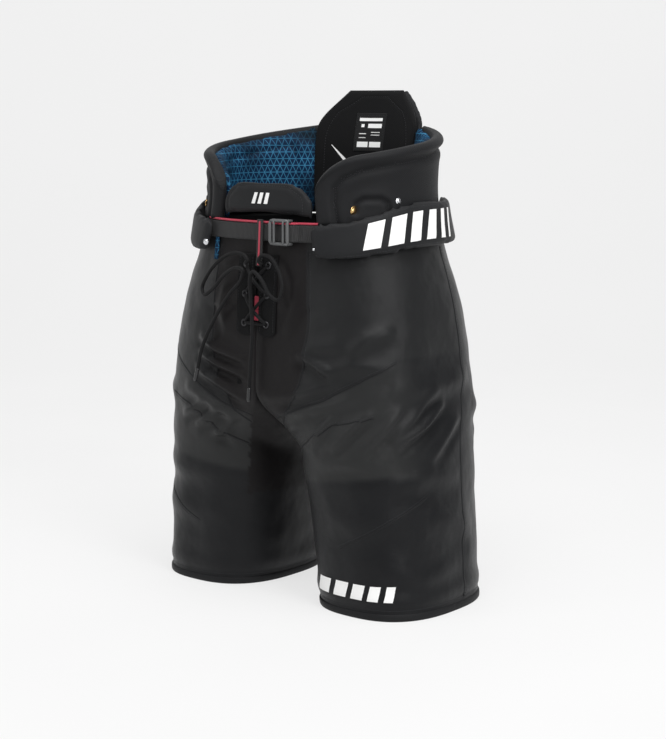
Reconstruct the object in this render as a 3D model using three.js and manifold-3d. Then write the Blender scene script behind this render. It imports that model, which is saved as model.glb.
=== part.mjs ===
// Padded hockey pants: a high-waisted trunk, two wide thigh tubes, kidney wings, a tall spine pad,
// a front belly pad, outer hip guards, a waist belt with a slide buckle and a laced fly.
// Millimetres, +Z up, front towards -Y, the wearer's left side at +X, origin between the hems.

import * as THREE from 'three';
import Module from 'manifold-3d';
import { mergeVertices } from 'three/addons/utils/BufferGeometryUtils.js';

const wasm = await Module();
wasm.setup();

// ---------------------------------------------------------------- driving sizes

// Heights along the garment.
const legLength = 228;
const rise = 204;
const backRise = 183;
const yokeRise = 24;
const yokeDrop = 8;
const padRise = 70;
const wingFrontRise = 62;
const wingBackRise = 138;

// Trunk half sizes at the hips and at the waist.
const hipHalfWidth = 194;
const hipHalfDepth = 122;
const waistHalfWidth = 159;
const waistHalfDepth = 112;

// Thigh tube: how far each tube's centre stands from the middle at the hem, its half sizes, and how
// far its inner face stands from the middle at the top.
const hemSpread = 126;
const saddleHalfGap = 22;
const hemHalfWidth = 82;
const hemHalfDepth = 99;
const thighSwell = 6;
const thighHalfDepth = 113;

// Layers, from the outer face inwards.
const fabric = 2.2;
const layerGap = 2;
const plate = 1.8;
const thighFoam = 8;
const hipFoam = 7.5;
const tailboneFoam = 11;
const wingFoam = 8;
const wingLining = 4.6;
const bellyFoam = 11;
const seamGap = 0.8;
const flapGap = 1.6;
const seamAngle = 0.5;

// Swing of the thighs at the groin.
const tuckClearance = 10;
const rimAboveHinge = 14;
const hingeAboveCrotch = 8;
const rimGap = 6;
const groinDip = 6;

// Front closure.
const flySlit = 7;
const placketWidth = 26;
const placketLength = 100;
const tongueHalfWidth = 34;
const eyeletCount = 3;
const eyeletHole = 2.4;
const eyeletFlange = 5;
const eyeletDrop = 14;
const eyeletRun = placketLength - 30;
const laceRadius = 2.2;
const agletRadius = 2.9;
const agletLength = 17;

// Belt, buckle and outer hip guards.
const beltWidth = 20;
const beltThick = 2;
const beltRise = 6;
const beltHalfLength = 100;
const bumpHeight = 6.8;
const bumpRamp = 9;
const pipingWidth = 2.6;
const buckleCentre = 39;
const buckleHalfWidth = 15;
const buckleBar = 3;
const buckleTravel = 8;
const buckleClearance = 3;
const guardFoam = 12;
const guardFrontHeight = 44;
const guardSideHeight = 58;
const guardDrop = 15;
const guardSideLift = 12;
const guardEdge = 3;
const tabWidth = 9;
const rivetRadius = 5;

// Where the panels are sewn together: distances from the middle, and angles from the side.
const frontSeamHalfWidth = 72;
const guardFrontHalfWidth = 74;
const wingFrontHalfWidth = 77;
const backSeam = 52;
const wingBack = 55;
const guardBack = 50;

// Kidney wing, spine pad, belly pad, tailbone pad, label and hem.
const wingCorner = 0.2;
const wingCornerDrop = 38;
const spineHalfWidth = 80;
const spineTopHalfWidth = 44;
const spineShoulder = 50;
const spineLean = 16;
const bellyHalfWidth = 70;
const bellyTopHalfWidth = 48;
const bellyHeight = 43;
const bellyArch = 7;
const tailboneHalfWidth = 30;
const tailboneTopHalfWidth = 52;
const labelHalfWidth = 24;
const labelHeight = 48;
const labelDrop = 30;
const hemHeight = 9;
const hemThick = 4.6;

// ---------------------------------------------------------------- derived sizes

const hingeHeight = legLength + hingeAboveCrotch;
const trunkBottom = hingeHeight + rimAboveHinge;
const waistHeight = legLength + rise;
const trunkTop = waistHeight + yokeRise;
const frontTop = waistHeight - yokeDrop;
const wingBottom = trunkTop + flapGap;
const spineTop = waistHeight + backRise;
const legTop = trunkBottom - rimGap;
const legInnerTop = legLength - groinDip;
const beltLow = waistHeight + beltRise;
const beltHigh = beltLow + beltWidth;
const pipingLow = beltHigh + 0.5;
const pipingHigh = pipingLow + pipingWidth;
const beltFace = -fabric - 1;
const padHingeHeight = trunkTop + 7;

const radians = THREE.MathUtils.degToRad;
const lerp = THREE.MathUtils.lerp;

// ---------------------------------------------------------------- body sections

// A smooth run of section sizes through a few stations, each given as [height, ...values].
function stations(rows) {
  const width = rows[0].length - 1;
  const heights = rows.map((row) => row[0]);
  const values = rows.flatMap((row) => row.slice(1));
  const curve = new THREE.CubicInterpolant(heights, values, width);
  return (height) => Array.from(curve.evaluate(height));
}

// Trunk: half width, half depth, squareness.
const trunkAt = stations([
  [legLength, hipHalfWidth, hipHalfDepth, 3.4],
  [legLength + rise * 0.45, hipHalfWidth - 8, hipHalfDepth - 2, 3.0],
  [
    legLength + rise * 0.75,
    lerp(hipHalfWidth, waistHalfWidth, 0.52),
    lerp(hipHalfDepth, waistHalfDepth, 0.5),
    2.6,
  ],
  [waistHeight, waistHalfWidth, waistHalfDepth, 2.35],
  [waistHeight + 50, waistHalfWidth - 9, waistHalfDepth - 2, 2.2],
  [waistHeight + 110, waistHalfWidth - 8, waistHalfDepth, 2.2],
  [spineTop, waistHalfWidth - 2, waistHalfDepth + spineLean, 2.2],
]);

// Thigh tube: centre, half width, half depth, squareness. Its top is narrower than the trunk's rim,
// so that it can swing inside it.
const tuckHalfDepth = hipHalfDepth - fabric - 1.8 * tuckClearance;
const tuckOuter = hipHalfWidth - tuckClearance;
const tuckHalfWidth = (tuckOuter - saddleHalfGap) / 2;
const crotchSpread = (tuckOuter + saddleHalfGap) / 2;
const thighHalfWidth = tuckHalfWidth + thighSwell;
const legAt = stations([
  [0, hemSpread, hemHalfWidth, hemHalfDepth, 2.6],
  [
    legLength * 0.44,
    lerp(hemSpread, crotchSpread, 0.4),
    hemHalfWidth + 3,
    lerp(hemHalfDepth, thighHalfDepth, 0.36),
    2.5,
  ],
  [legLength * 0.78, crotchSpread + 6, thighHalfWidth, thighHalfDepth, 2.4],
  [legLength * 0.9, crotchSpread + 2, tuckHalfWidth + 1, tuckHalfDepth, 2.3],
  [legTop, crotchSpread, tuckHalfWidth, tuckHalfDepth, 2.3],
]);

function superellipse(angle, halfWidth, halfDepth, squareness) {
  const c = Math.cos(radians(angle));
  const s = Math.sin(radians(angle));
  const power = 2 / squareness;
  const x = halfWidth * Math.sign(c) * Math.abs(c) ** power;
  const y = halfDepth * Math.sign(s) * Math.abs(s) ** power;
  return [x, y];
}

// A point on the trunk: angle 0 is the wearer's left, -90 the front; depth runs inwards.
function trunkPoint(angle, height, depth) {
  const [halfWidth, halfDepth, squareness] = trunkAt(height);
  const [x, y] = superellipse(angle, halfWidth - depth, halfDepth - depth, squareness);
  return new THREE.Vector3(x, y, height);
}

// The angle at which the trunk's front or back stands the given distance from the middle.
function trunkAngle(x, height, depth = 0) {
  const [halfWidth, , squareness] = trunkAt(height);
  const share = Math.min(1, Math.abs(x) / (halfWidth - depth)) ** (squareness / 2);
  return -THREE.MathUtils.radToDeg(Math.acos(share));
}

// A point on the trunk's front face (side = -1) or back face (side = 1) at a given x.
function facePoint(x, height, depth, side) {
  const angle = trunkAngle(x, height, depth);
  const point = trunkPoint(angle, height, depth);
  point.x = Math.sign(x || 1) * Math.abs(point.x);
  point.y = side * Math.abs(point.y);
  return point;
}

// A point on the wearer's left thigh tube: angle 0 is the outside, -90 the front, 180 the inside.
function legPoint(angle, height, depth) {
  const [centre, halfWidth, halfDepth, squareness] = legAt(height);
  const [x, y] = superellipse(angle, halfWidth - depth, halfDepth - depth, squareness);
  return new THREE.Vector3(centre + x, y, height);
}

// ---------------------------------------------------------------- solid builders

function solidFrom(positions, index) {
  const geometry = new THREE.BufferGeometry();
  geometry.setAttribute('position', new THREE.Float32BufferAttribute(positions, 3));
  geometry.setIndex(index);
  if (signedVolume(geometry) < 0) {
    for (let i = 0; i < index.length; i += 3) {
      [index[i], index[i + 1]] = [index[i + 1], index[i]];
    }
    geometry.setIndex(index);
  }
  geometry.computeVertexNormals();
  return geometry;
}

function signedVolume(geometry) {
  const position = geometry.getAttribute('position');
  const index = geometry.getIndex();
  const corner = [new THREE.Vector3(), new THREE.Vector3(), new THREE.Vector3()];
  let total = 0;
  for (let i = 0; i < index.count; i += 3) {
    corner.forEach((point, k) => point.fromBufferAttribute(position, index.getX(i + k)));
    total += corner[0].dot(corner[1].cross(corner[2])) / 6;
  }
  return total;
}

// A closed slab: place(s, t, layer) gives the outer face for layer 0 and the inner one for layer 1.
function slab(place, columns, rows) {
  const positions = [];
  const index = [];
  const row = columns + 1;
  const layer = row * (rows + 1);
  for (const face of [0, 1]) {
    for (let j = 0; j <= rows; j += 1) {
      for (let i = 0; i <= columns; i += 1) {
        positions.push(...place(i / columns, j / rows, face).toArray());
      }
    }
  }
  const quad = (a, b, c, d) => index.push(a, b, c, a, c, d);
  for (let j = 0; j < rows; j += 1) {
    for (let i = 0; i < columns; i += 1) {
      const a = j * row + i;
      quad(a, a + 1, a + 1 + row, a + row);
      quad(layer + a, layer + a + row, layer + a + 1 + row, layer + a + 1);
    }
  }
  const edge = [];
  for (let i = 0; i < columns; i += 1) edge.push(i);
  for (let j = 0; j < rows; j += 1) edge.push(columns + j * row);
  for (let i = columns; i > 0; i -= 1) edge.push(rows * row + i);
  for (let j = rows; j > 0; j -= 1) edge.push(j * row);
  edge.forEach((a, k) => {
    const b = edge[(k + 1) % edge.length];
    quad(a, layer + a, layer + b, b);
  });
  return solidFrom(positions, index);
}

// A closed ring with a wall: place(s, t, layer) with s going once around.
function ring(place, columns, rows) {
  const positions = [];
  const index = [];
  const layer = columns * (rows + 1);
  for (const face of [0, 1]) {
    for (let j = 0; j <= rows; j += 1) {
      for (let i = 0; i < columns; i += 1) {
        positions.push(...place(i / columns, j / rows, face).toArray());
      }
    }
  }
  const at = (face, i, j) => face * layer + j * columns + (i % columns);
  const quad = (a, b, c, d) => index.push(a, b, c, a, c, d);
  for (let i = 0; i < columns; i += 1) {
    for (let j = 0; j < rows; j += 1) {
      quad(at(0, i, j), at(0, i + 1, j), at(0, i + 1, j + 1), at(0, i, j + 1));
      quad(at(1, i, j), at(1, i, j + 1), at(1, i + 1, j + 1), at(1, i + 1, j));
    }
    quad(at(0, i, 0), at(1, i, 0), at(1, i + 1, 0), at(0, i + 1, 0));
    quad(at(0, i, rows), at(0, i + 1, rows), at(1, i + 1, rows), at(1, i, rows));
  }
  return solidFrom(positions, index);
}

// The same shape on the wearer's right side.
function mirrored(place) {
  return (s, t, face) => place(s, t, face).multiply(new THREE.Vector3(-1, 1, 1));
}

// Trunk panel between two angles and two edge heights (numbers or functions of the angle).
function trunkPanel({ from, to, low, high, outer, inner }) {
  const value = (item, a, b) => (typeof item === 'function' ? item(a, b) : item);
  return (s, t, face) => {
    const angle = lerp(from, to, s);
    const height = lerp(value(low, angle), value(high, angle), t);
    return trunkPoint(angle, height, value(face ? inner : outer, s, t));
  };
}

function legPanel({ from, to, low, high, outer, inner }) {
  const value = (item, angle) => (typeof item === 'function' ? item(angle) : item);
  return (s, t, face) => {
    const angle = lerp(from, to, s);
    const height = lerp(low, value(high, angle), t);
    return legPoint(angle, height, face ? inner : outer);
  };
}

// Panel on the trunk's front or back whose side edges are given as distances from the middle.
function facePanel({ left, right, low, high, outer, inner, side }) {
  const value = (item, a) => (typeof item === 'function' ? item(a) : item);
  return (s, t, face) => {
    const mid = lerp(value(left, t), value(right, t), s);
    const height = lerp(value(low, mid), value(high, mid), t);
    return facePoint(mid, height, value(face ? inner : outer, mid), side);
  };
}

function asManifold(geometry) {
  const bare = geometry.clone();
  bare.deleteAttribute('normal');
  bare.deleteAttribute('uv');
  const merged = mergeVertices(bare, 1e-4);
  const vertProperties = new Float32Array(merged.getAttribute('position').array);
  const triVerts = new Uint32Array(merged.getIndex().array);
  return new wasm.Manifold(new wasm.Mesh({ numProp: 3, vertProperties, triVerts }));
}

function fromManifold(solid) {
  const mesh = solid.getMesh();
  return solidFrom(Array.from(mesh.vertProperties), Array.from(mesh.triVerts));
}

// ---------------------------------------------------------------- materials

const finish = (color, roughness, metalness = 0) => () =>
  new THREE.MeshStandardMaterial({ color, roughness, metalness });
const nylon = finish(0x2b2c2f, 0.62);
const stretchNylon = finish(0x222326, 0.75);
const padding = finish(0x35363a, 0.85);
const plasticPlate = finish(0xd9dadc, 0.45);
const blueLining = finish(0x1f5f98, 0.8);
const redTape = finish(0xcf3a55, 0.6);
const webbing = finish(0x1b1b1e, 0.8);
const greyPlastic = finish(0x5f6162, 0.5);
const brass = finish(0xb08a4a, 0.3, 1);
const labelCloth = finish(0xb9bcc0, 0.8);
const laceCloth = finish(0x151517, 0.85);
const agletPlastic = finish(0x0f0f10, 0.35);

const pants = new THREE.Group();

function add(name, geometry, material) {
  const mesh = new THREE.Mesh(geometry, material());
  mesh.name = name;
  pants.add(mesh);
  return mesh;
}

function addPair(name, place, columns, rows, material) {
  add(`left_${name}`, slab(place, columns, rows), material);
  add(`right_${name}`, slab(mirrored(place), columns, rows), material);
}

// ---------------------------------------------------------------- trunk shell

const frontSeam = trunkAngle(frontSeamHalfWidth, waistHeight);
const shellRows = 5;

addPair('hip_shell', trunkPanel({
  from: frontSeam,
  to: backSeam,
  low: trunkBottom,
  high: trunkTop,
  outer: 0,
  inner: fabric,
}), 12, shellRows, nylon);

add('seat_panel', slab(trunkPanel({
  from: backSeam + seamAngle,
  to: 180 - backSeam - seamAngle,
  low: trunkBottom,
  high: trunkTop,
  outer: 0,
  inner: fabric,
}), 8, shellRows), nylon);

addPair('front_panel', facePanel({
  left: flySlit / 2,
  right: (t) => trunkPoint(frontSeam, lerp(trunkBottom, frontTop, t), 0).x - 2 * seamGap,
  low: trunkBottom,
  high: frontTop,
  outer: 0,
  inner: fabric,
  side: -1,
}), 4, 4, stretchNylon);

add('waist_yoke', slab(trunkPanel({
  from: -180 - frontSeam + seamAngle,
  to: frontSeam - seamAngle,
  low: frontTop + seamGap,
  high: trunkTop,
  outer: 0,
  inner: fabric,
}), 8, 2), nylon);

// The gusset hangs as a narrow strip between the thighs, from the front rim to the seat.
const gussetHalfWidth = 12;
add('crotch_gusset', slab((s, t, face) => {
  const swing = Math.PI * s;
  const depth = face ? fabric : 0;
  const y = -(hipHalfDepth - 2 - depth) * Math.cos(swing);
  const drop = (trunkBottom - seamGap - legInnerTop - depth) * Math.sin(swing);
  return new THREE.Vector3(lerp(gussetHalfWidth, -gussetHalfWidth, t), y, trunkBottom - seamGap - drop);
}, 12, 2), stretchNylon);

// Hard plates and foam behind the hip shells, and the tailbone pad in the seat.
const plateFace = fabric + layerGap;
const foamFace = plateFace + plate + layerGap;
const hipPadArea = { from: -56, to: 44, low: legLength + padRise, high: frontTop };
const hipPlateDepth = { outer: plateFace, inner: plateFace + plate };
const hipFoamDepth = { outer: foamFace, inner: foamFace + hipFoam };

addPair('hip_plate', trunkPanel({ ...hipPadArea, ...hipPlateDepth }), 9, 3, plasticPlate);
addPair('hip_foam', trunkPanel({ ...hipPadArea, ...hipFoamDepth }), 9, 3, padding);

add('tailbone_pad', slab(facePanel({
  left: (t) => lerp(tailboneHalfWidth, tailboneTopHalfWidth, t),
  right: (t) => -lerp(tailboneHalfWidth, tailboneTopHalfWidth, t),
  low: legLength + padRise,
  high: beltLow,
  outer: plateFace,
  inner: plateFace + tailboneFoam,
  side: 1,
}), 4, 3), padding);

// ---------------------------------------------------------------- fly

const tongueFace = fabric + layerGap;
add('fly_tongue', slab(facePanel({
  left: -tongueHalfWidth,
  right: tongueHalfWidth,
  low: trunkBottom + 2,
  high: frontTop,
  outer: tongueFace,
  inner: tongueFace + fabric,
  side: -1,
}), 4, 3), stretchNylon);

const placketFace = -seamGap - fabric;
const placketEdge = flySlit / 2 + 1;
const placketMiddle = placketEdge + placketWidth / 2;
const placketPlace = facePanel({
  left: placketEdge,
  right: placketEdge + placketWidth,
  low: frontTop - placketLength,
  high: frontTop - 2,
  outer: placketFace,
  inner: -seamGap,
  side: -1,
});

const eyeletHeights = Array.from({ length: eyeletCount }, (_, k) => (
  frontTop - eyeletDrop - eyeletRun * (k / (eyeletCount - 1))
));

function eyeletCutter(x, height) {
  const holeRadius = eyeletHole + 1.4;
  const cutter = new THREE.CylinderGeometry(holeRadius, holeRadius, 12, 10);
  const centre = facePoint(x, height, placketFace / 2, -1);
  cutter.translate(centre.x, centre.y, centre.z);
  return asManifold(cutter);
}

// An eyelet: a flange on the placket's face and a barrel through it.
function eyeletGeometry() {
  const flangeBack = 0.9;
  const flangeFront = flangeBack + 1;
  const profile = [
    [eyeletHole, -fabric + 0.4],
    [eyeletHole + 1, -fabric + 0.4],
    [eyeletHole + 1, flangeBack],
    [eyeletFlange, flangeBack],
    [eyeletFlange, flangeFront],
    [eyeletHole, flangeFront],
    [eyeletHole, -fabric + 0.4],
  ];
  return mergeVertices(new THREE.LatheGeometry(profile.map(([r, y]) => new THREE.Vector2(r, y)), 10));
}

for (const side of [1, -1]) {
  const word = side > 0 ? 'left' : 'right';
  const place = side > 0 ? placketPlace : mirrored(placketPlace);
  let placket = asManifold(slab(place, 3, 4));
  eyeletHeights.forEach((height) => {
    placket = placket.subtract(eyeletCutter(side * placketMiddle, height));
  });
  add(`${word}_fly_placket`, fromManifold(placket), nylon);
  eyeletHeights.forEach((height, k) => {
    const eyelet = add(`${word}_eyelet_${k + 1}`, eyeletGeometry(), brass);
    eyelet.position.copy(facePoint(side * placketMiddle, height, placketFace, -1));
    eyelet.rotation.x = Math.PI;
  });
}

// ---------------------------------------------------------------- kidney wings

const wingFront = trunkAngle(wingFrontHalfWidth, wingBottom);

// The wing's rim climbs from the low front corner, rounds it and rises to the back.
function wingRim(angle) {
  const share = (angle - wingFront) / (wingBack - wingFront);
  const toCorner = Math.max(0, 1 - share / wingCorner);
  const rounding = 1 - Math.sqrt(1 - toCorner ** 2);
  const slope = lerp(wingFrontRise + wingCornerDrop, wingBackRise, share);
  return waistHeight + slope - wingCornerDrop * rounding;
}

const wingArea = { from: wingFront, to: wingBack, low: wingBottom, high: wingRim };
const wingPlateFace = wingFoam + layerGap;
const wingLiningFace = wingPlateFace + plate + layerGap;

addPair('kidney_pad', trunkPanel({ ...wingArea, outer: 0, inner: wingFoam }), 14, 3, nylon);
addPair('kidney_plate', trunkPanel({
  from: wingFront + 5,
  to: wingBack - 5,
  low: wingBottom + 8,
  high: (angle) => wingRim(angle) - 14,
  outer: wingPlateFace,
  inner: wingPlateFace + plate,
}), 12, 2, plasticPlate);
addPair('kidney_lining', trunkPanel({
  ...wingArea,
  high: (angle) => wingRim(angle) - 3,
  outer: wingLiningFace,
  inner: wingLiningFace + wingLining,
}), 14, 3, blueLining);

// ---------------------------------------------------------------- spine pad

const spineBottom = padHingeHeight + 1;
function spineOutline(inset) {
  const height = spineTop - inset - spineBottom;
  return (t) => {
    const below = (1 - t) * height;
    const share = Math.min(1, below / spineShoulder);
    const round = Math.sin(share * Math.PI / 2) ** 1.15;
    return lerp(spineTopHalfWidth, spineHalfWidth, round) - inset;
  };
}

function spineLayer(inset, outer, inner) {
  const half = spineOutline(inset);
  return slab(facePanel({
    left: (t) => half(t),
    right: (t) => -half(t),
    low: spineBottom + inset,
    high: spineTop - inset,
    outer,
    inner,
    side: 1,
  }), 6, 7);
}

const spineLiningFace = wingFoam + layerGap + plate + layerGap;
add('spine_pad', spineLayer(0, -1, wingFoam), nylon);
add('spine_plate', spineLayer(9, wingFoam + layerGap, wingFoam + layerGap + plate), plasticPlate);
add('spine_lining', spineLayer(1.5, spineLiningFace, spineLiningFace + wingLining), padding);

const labelFace = spineLiningFace + wingLining + 0.6;
add('size_label', slab(facePanel({
  left: labelHalfWidth,
  right: -labelHalfWidth,
  low: spineTop - labelDrop - labelHeight,
  high: spineTop - labelDrop,
  outer: labelFace,
  inner: labelFace + 0.8,
  side: 1,
}), 2, 2), labelCloth);

// ---------------------------------------------------------------- belly pad

const bellyBottom = padHingeHeight + 2;
add('belly_pad', slab((s, t, face) => {
  const round = Math.sin(Math.min(1, (1 - t) * 1.6) * Math.PI / 2);
  const half = lerp(bellyTopHalfWidth, bellyHalfWidth, round);
  const x = lerp(-half, half, s);
  const arch = bellyArch * (1 - (x / bellyHalfWidth) ** 2);
  const height = lerp(bellyBottom + arch, bellyBottom + bellyHeight, t);
  return facePoint(x, height, face ? bellyFoam : 0, -1);
}, 8, 4), nylon);

// ---------------------------------------------------------------- belt, piping, buckle and tab

// The belt lifts over the buckle's middle bar.
function beltLift(x) {
  const distance = Math.abs(x - buckleCentre);
  const plateau = buckleBar / 2 + buckleTravel + 1;
  return bumpHeight * (1 - THREE.MathUtils.smoothstep(distance, plateau, plateau + bumpRamp));
}

function beltStrip(low, high) {
  return slab(facePanel({
    left: -beltHalfLength,
    right: beltHalfLength,
    low,
    high,
    outer: (x) => beltFace - beltLift(x),
    inner: (x) => beltFace + beltThick - beltLift(x),
    side: -1,
  }), 32, 1);
}

add('belt_strap', beltStrip(beltLow, beltHigh), webbing);
add('belt_piping', beltStrip(pipingLow, pipingHigh), redTape);

function boxSolid(width, depth, height, x, y, z) {
  const box = new THREE.BoxGeometry(width, depth, height);
  box.translate(x, y, z);
  return asManifold(box);
}

// A slide buckle: two bars in front of the belt, one behind it, and two rails joining them.
const buckleMiddle = (beltLow + pipingHigh) / 2;
const buckleRail = (pipingHigh - beltLow) / 2 + seamGap + buckleBar / 2;
const beltFront = facePoint(buckleCentre, buckleMiddle, beltFace, -1).y;
const frontBarY = beltFront - bumpHeight - buckleClearance - buckleBar / 2;
const middleBarY = beltFront + beltThick - 3.8;
const railDepth = middleBarY - frontBarY + buckleBar;
let buckle = boxSolid(buckleBar, 2.4, 2 * buckleRail, buckleCentre, middleBarY, buckleMiddle);
for (const side of [-1, 1]) {
  const barX = buckleCentre + side * (buckleHalfWidth - buckleBar / 2);
  const railZ = buckleMiddle + side * buckleRail;
  const railY = (middleBarY + 1.2 + frontBarY - buckleBar / 2) / 2;
  buckle = buckle.add(boxSolid(buckleBar, buckleBar, 2 * buckleRail, barX, frontBarY, buckleMiddle));
  buckle = buckle.add(boxSolid(2 * buckleHalfWidth, railDepth, buckleBar, buckleCentre, railY, railZ));
}
add('belt_buckle', fromManifold(buckle), greyPlastic);

// The vertical pull tab runs over the belt at the centre front, above the fly.
add('fly_tab', slab(facePanel({
  left: 0,
  right: tabWidth,
  low: frontTop - 8,
  high: trunkTop + 3,
  outer: beltFace - 1 - fabric,
  inner: beltFace - 1,
  side: -1,
}), 2, 4), redTape);

// ---------------------------------------------------------------- outer hip guards

const guardFront = trunkAngle(guardFrontHalfWidth, waistHeight);
const guardInner = beltFace - 1.6;

function guardLow(angle) {
  return waistHeight - guardDrop + guardSideLift * THREE.MathUtils.smoothstep(angle, guardFront, 0);
}

function guardHigh(angle) {
  const share = THREE.MathUtils.smoothstep(angle, guardFront, 0);
  const tall = lerp(guardFrontHeight, guardSideHeight, share);
  return guardLow(angle) + tall;
}

addPair('hip_guard', trunkPanel({
  from: guardFront,
  to: guardBack,
  low: guardLow,
  high: guardHigh,
  outer: (s, t) => {
    const crown = Math.sin(Math.PI * lerp(0.08, 0.92, t));
    return guardInner - guardEdge - (guardFoam - guardEdge) * crown;
  },
  inner: guardInner,
}), 12, 3, nylon);

function addRivet(name, side, angle, height, depth) {
  const seat = trunkPoint(angle, height, depth);
  const beside = trunkPoint(angle + 1, height, depth);
  const tangent = beside.sub(seat);
  const outward = new THREE.Vector3(tangent.y, -tangent.x, 0).normalize();
  const dome = mergeVertices(new THREE.LatheGeometry([
    new THREE.Vector2(0, 0),
    new THREE.Vector2(rivetRadius, 0),
    new THREE.Vector2(rivetRadius * 0.85, 1.2),
    new THREE.Vector2(rivetRadius * 0.4, 2),
    new THREE.Vector2(0, 2.1),
  ], 10));
  const rivet = add(name, dome, brass);
  rivet.position.set(side * seat.x, seat.y, seat.z);
  outward.x *= side;
  rivet.quaternion.setFromUnitVectors(new THREE.Vector3(0, 1, 0), outward);
}

const rivetAngle = wingFront + 20;
const rivetHeight = guardHigh(rivetAngle) + rivetRadius + 2;
const rivetFace = -0.9;
addRivet('left_wing_rivet', 1, rivetAngle, rivetHeight, rivetFace);
addRivet('right_wing_rivet', -1, rivetAngle, rivetHeight, rivetFace);

// ---------------------------------------------------------------- laces

// Each half of the lace leaves the top eyelet, makes its bow loop and hangs down to its aglet.
// The points are [x, distance in front of the fly, height].
const laceRoutes = {
  right: [
    [-13, 9, 411], [-9, 11, 414], [-13, 12, 420], [-30, 13, 422], [-55, 13, 412], [-76, 12, 394],
    [-86, 12, 377], [-80, 13, 369], [-62, 14, 378], [-40, 17, 396], [-18, 20, 406], [-8, 20, 404],
    [-12, 17, 392], [-34, 14, 372], [-60, 12, 340], [-80, 12, 305], [-88, 12, 278],
  ],
  left: [
    [13, 9, 411], [9, 11, 414], [13, 12, 421], [28, 13, 420], [42, 13, 404], [48, 13, 385],
    [44, 14, 372], [34, 16, 376], [22, 19, 394], [9, 20, 403], [4, 19, 395], [3, 15, 370],
    [5, 13, 330], [3, 13, 295], [1, 13, 264],
  ],
};
const knotHeight = 411;

function lacePoint([x, front, height]) {
  const point = facePoint(x, height + frontTop - 13 - knotHeight, 0, -1);
  point.y -= front;
  return point;
}

for (const [side, route] of Object.entries(laceRoutes)) {
  const points = route.map(lacePoint);
  const curve = new THREE.CatmullRomCurve3(points, false, 'centripetal');
  const circle = new THREE.Shape().absarc(0, 0, laceRadius, 0, Math.PI * 2);
  const tube = new THREE.ExtrudeGeometry(circle, {
    steps: 60,
    curveSegments: 4,
    bevelEnabled: false,
    extrudePath: curve,
  });
  tube.deleteAttribute('normal');
  tube.deleteAttribute('uv');
  const lace = mergeVertices(tube, 1e-3);
  const tubePoints = Array.from(lace.getAttribute('position').array);
  const tubeIndex = Array.from(lace.getIndex().array);
  add(`${side}_lace`, solidFrom(tubePoints, tubeIndex), laceCloth);
  const end = points[points.length - 1];
  const along = curve.getTangent(1);
  const agletBody = new THREE.CylinderGeometry(agletRadius, agletRadius, agletLength, 12);
  const aglet = add(`${side}_aglet`, agletBody, agletPlastic);
  aglet.position.copy(end).addScaledVector(along, agletLength / 2 + 0.3);
  aglet.quaternion.setFromUnitVectors(new THREE.Vector3(0, 1, 0), along);
}

// ---------------------------------------------------------------- thighs

const hemFace = -1.4;
const panelBottom = hemHeight + seamGap;

// The tube's top edge dips on the inside, where the gusset passes between the thighs.
function legRim(angle) {
  const inwards = Math.max(0, -Math.cos(radians(angle)));
  return lerp(legTop, legInnerTop, inwards ** 1.5);
}

const legRows = 8;
const legColumns = 12;
const legPadColumns = 20;
const legPanels = {
  thigh_front: [-128, -38],
  thigh_outer: [-37.5, 46],
  thigh_back: [46.5, 128],
  thigh_inner: [128.5, 231.5],
};

for (const [name, [from, to]] of Object.entries(legPanels)) {
  addPair(name, legPanel({
    from,
    to,
    low: panelBottom,
    high: legRim,
    outer: 0,
    inner: fabric,
  }), legColumns, legRows, name === 'thigh_inner' ? stretchNylon : nylon);
}

const thighPadArea = { from: -112, to: 60, low: hemHeight + 28, high: legLength - 26 };
const thighPlateDepth = { outer: plateFace, inner: plateFace + plate };
const thighFoamDepth = { outer: foamFace, inner: foamFace + thighFoam };
const thighPlatePlace = legPanel({ ...thighPadArea, ...thighPlateDepth });
const thighFoamPlace = legPanel({ ...thighPadArea, ...thighFoamDepth });
addPair('thigh_plate', thighPlatePlace, legPadColumns, legRows, plasticPlate);
addPair('thigh_foam', thighFoamPlace, legPadColumns, legRows, padding);

const hemPlace = (s, t, face) => legPoint(360 * s, hemHeight * t, face ? hemFace + hemThick : hemFace);
add('left_hem', ring(hemPlace, 32, 1), nylon);
add('right_hem', ring(mirrored(hemPlace), 32, 1), nylon);

export default pants;
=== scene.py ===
# %% [markdown]
# # Padded ice hockey pants
# A pair of padded pants is a stack of layers: a nylon shell outside, plastic plates and foam behind
# it, and printed knit linings where the body touches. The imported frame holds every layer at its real
# place. Here each layer gets its real surface, on the bodies that the frame moves.

# %% Load the frame
import math

import bmesh
import bpy
import numpy as np
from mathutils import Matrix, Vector, noise
from mathutils.bvhtree import BVHTree


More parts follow.
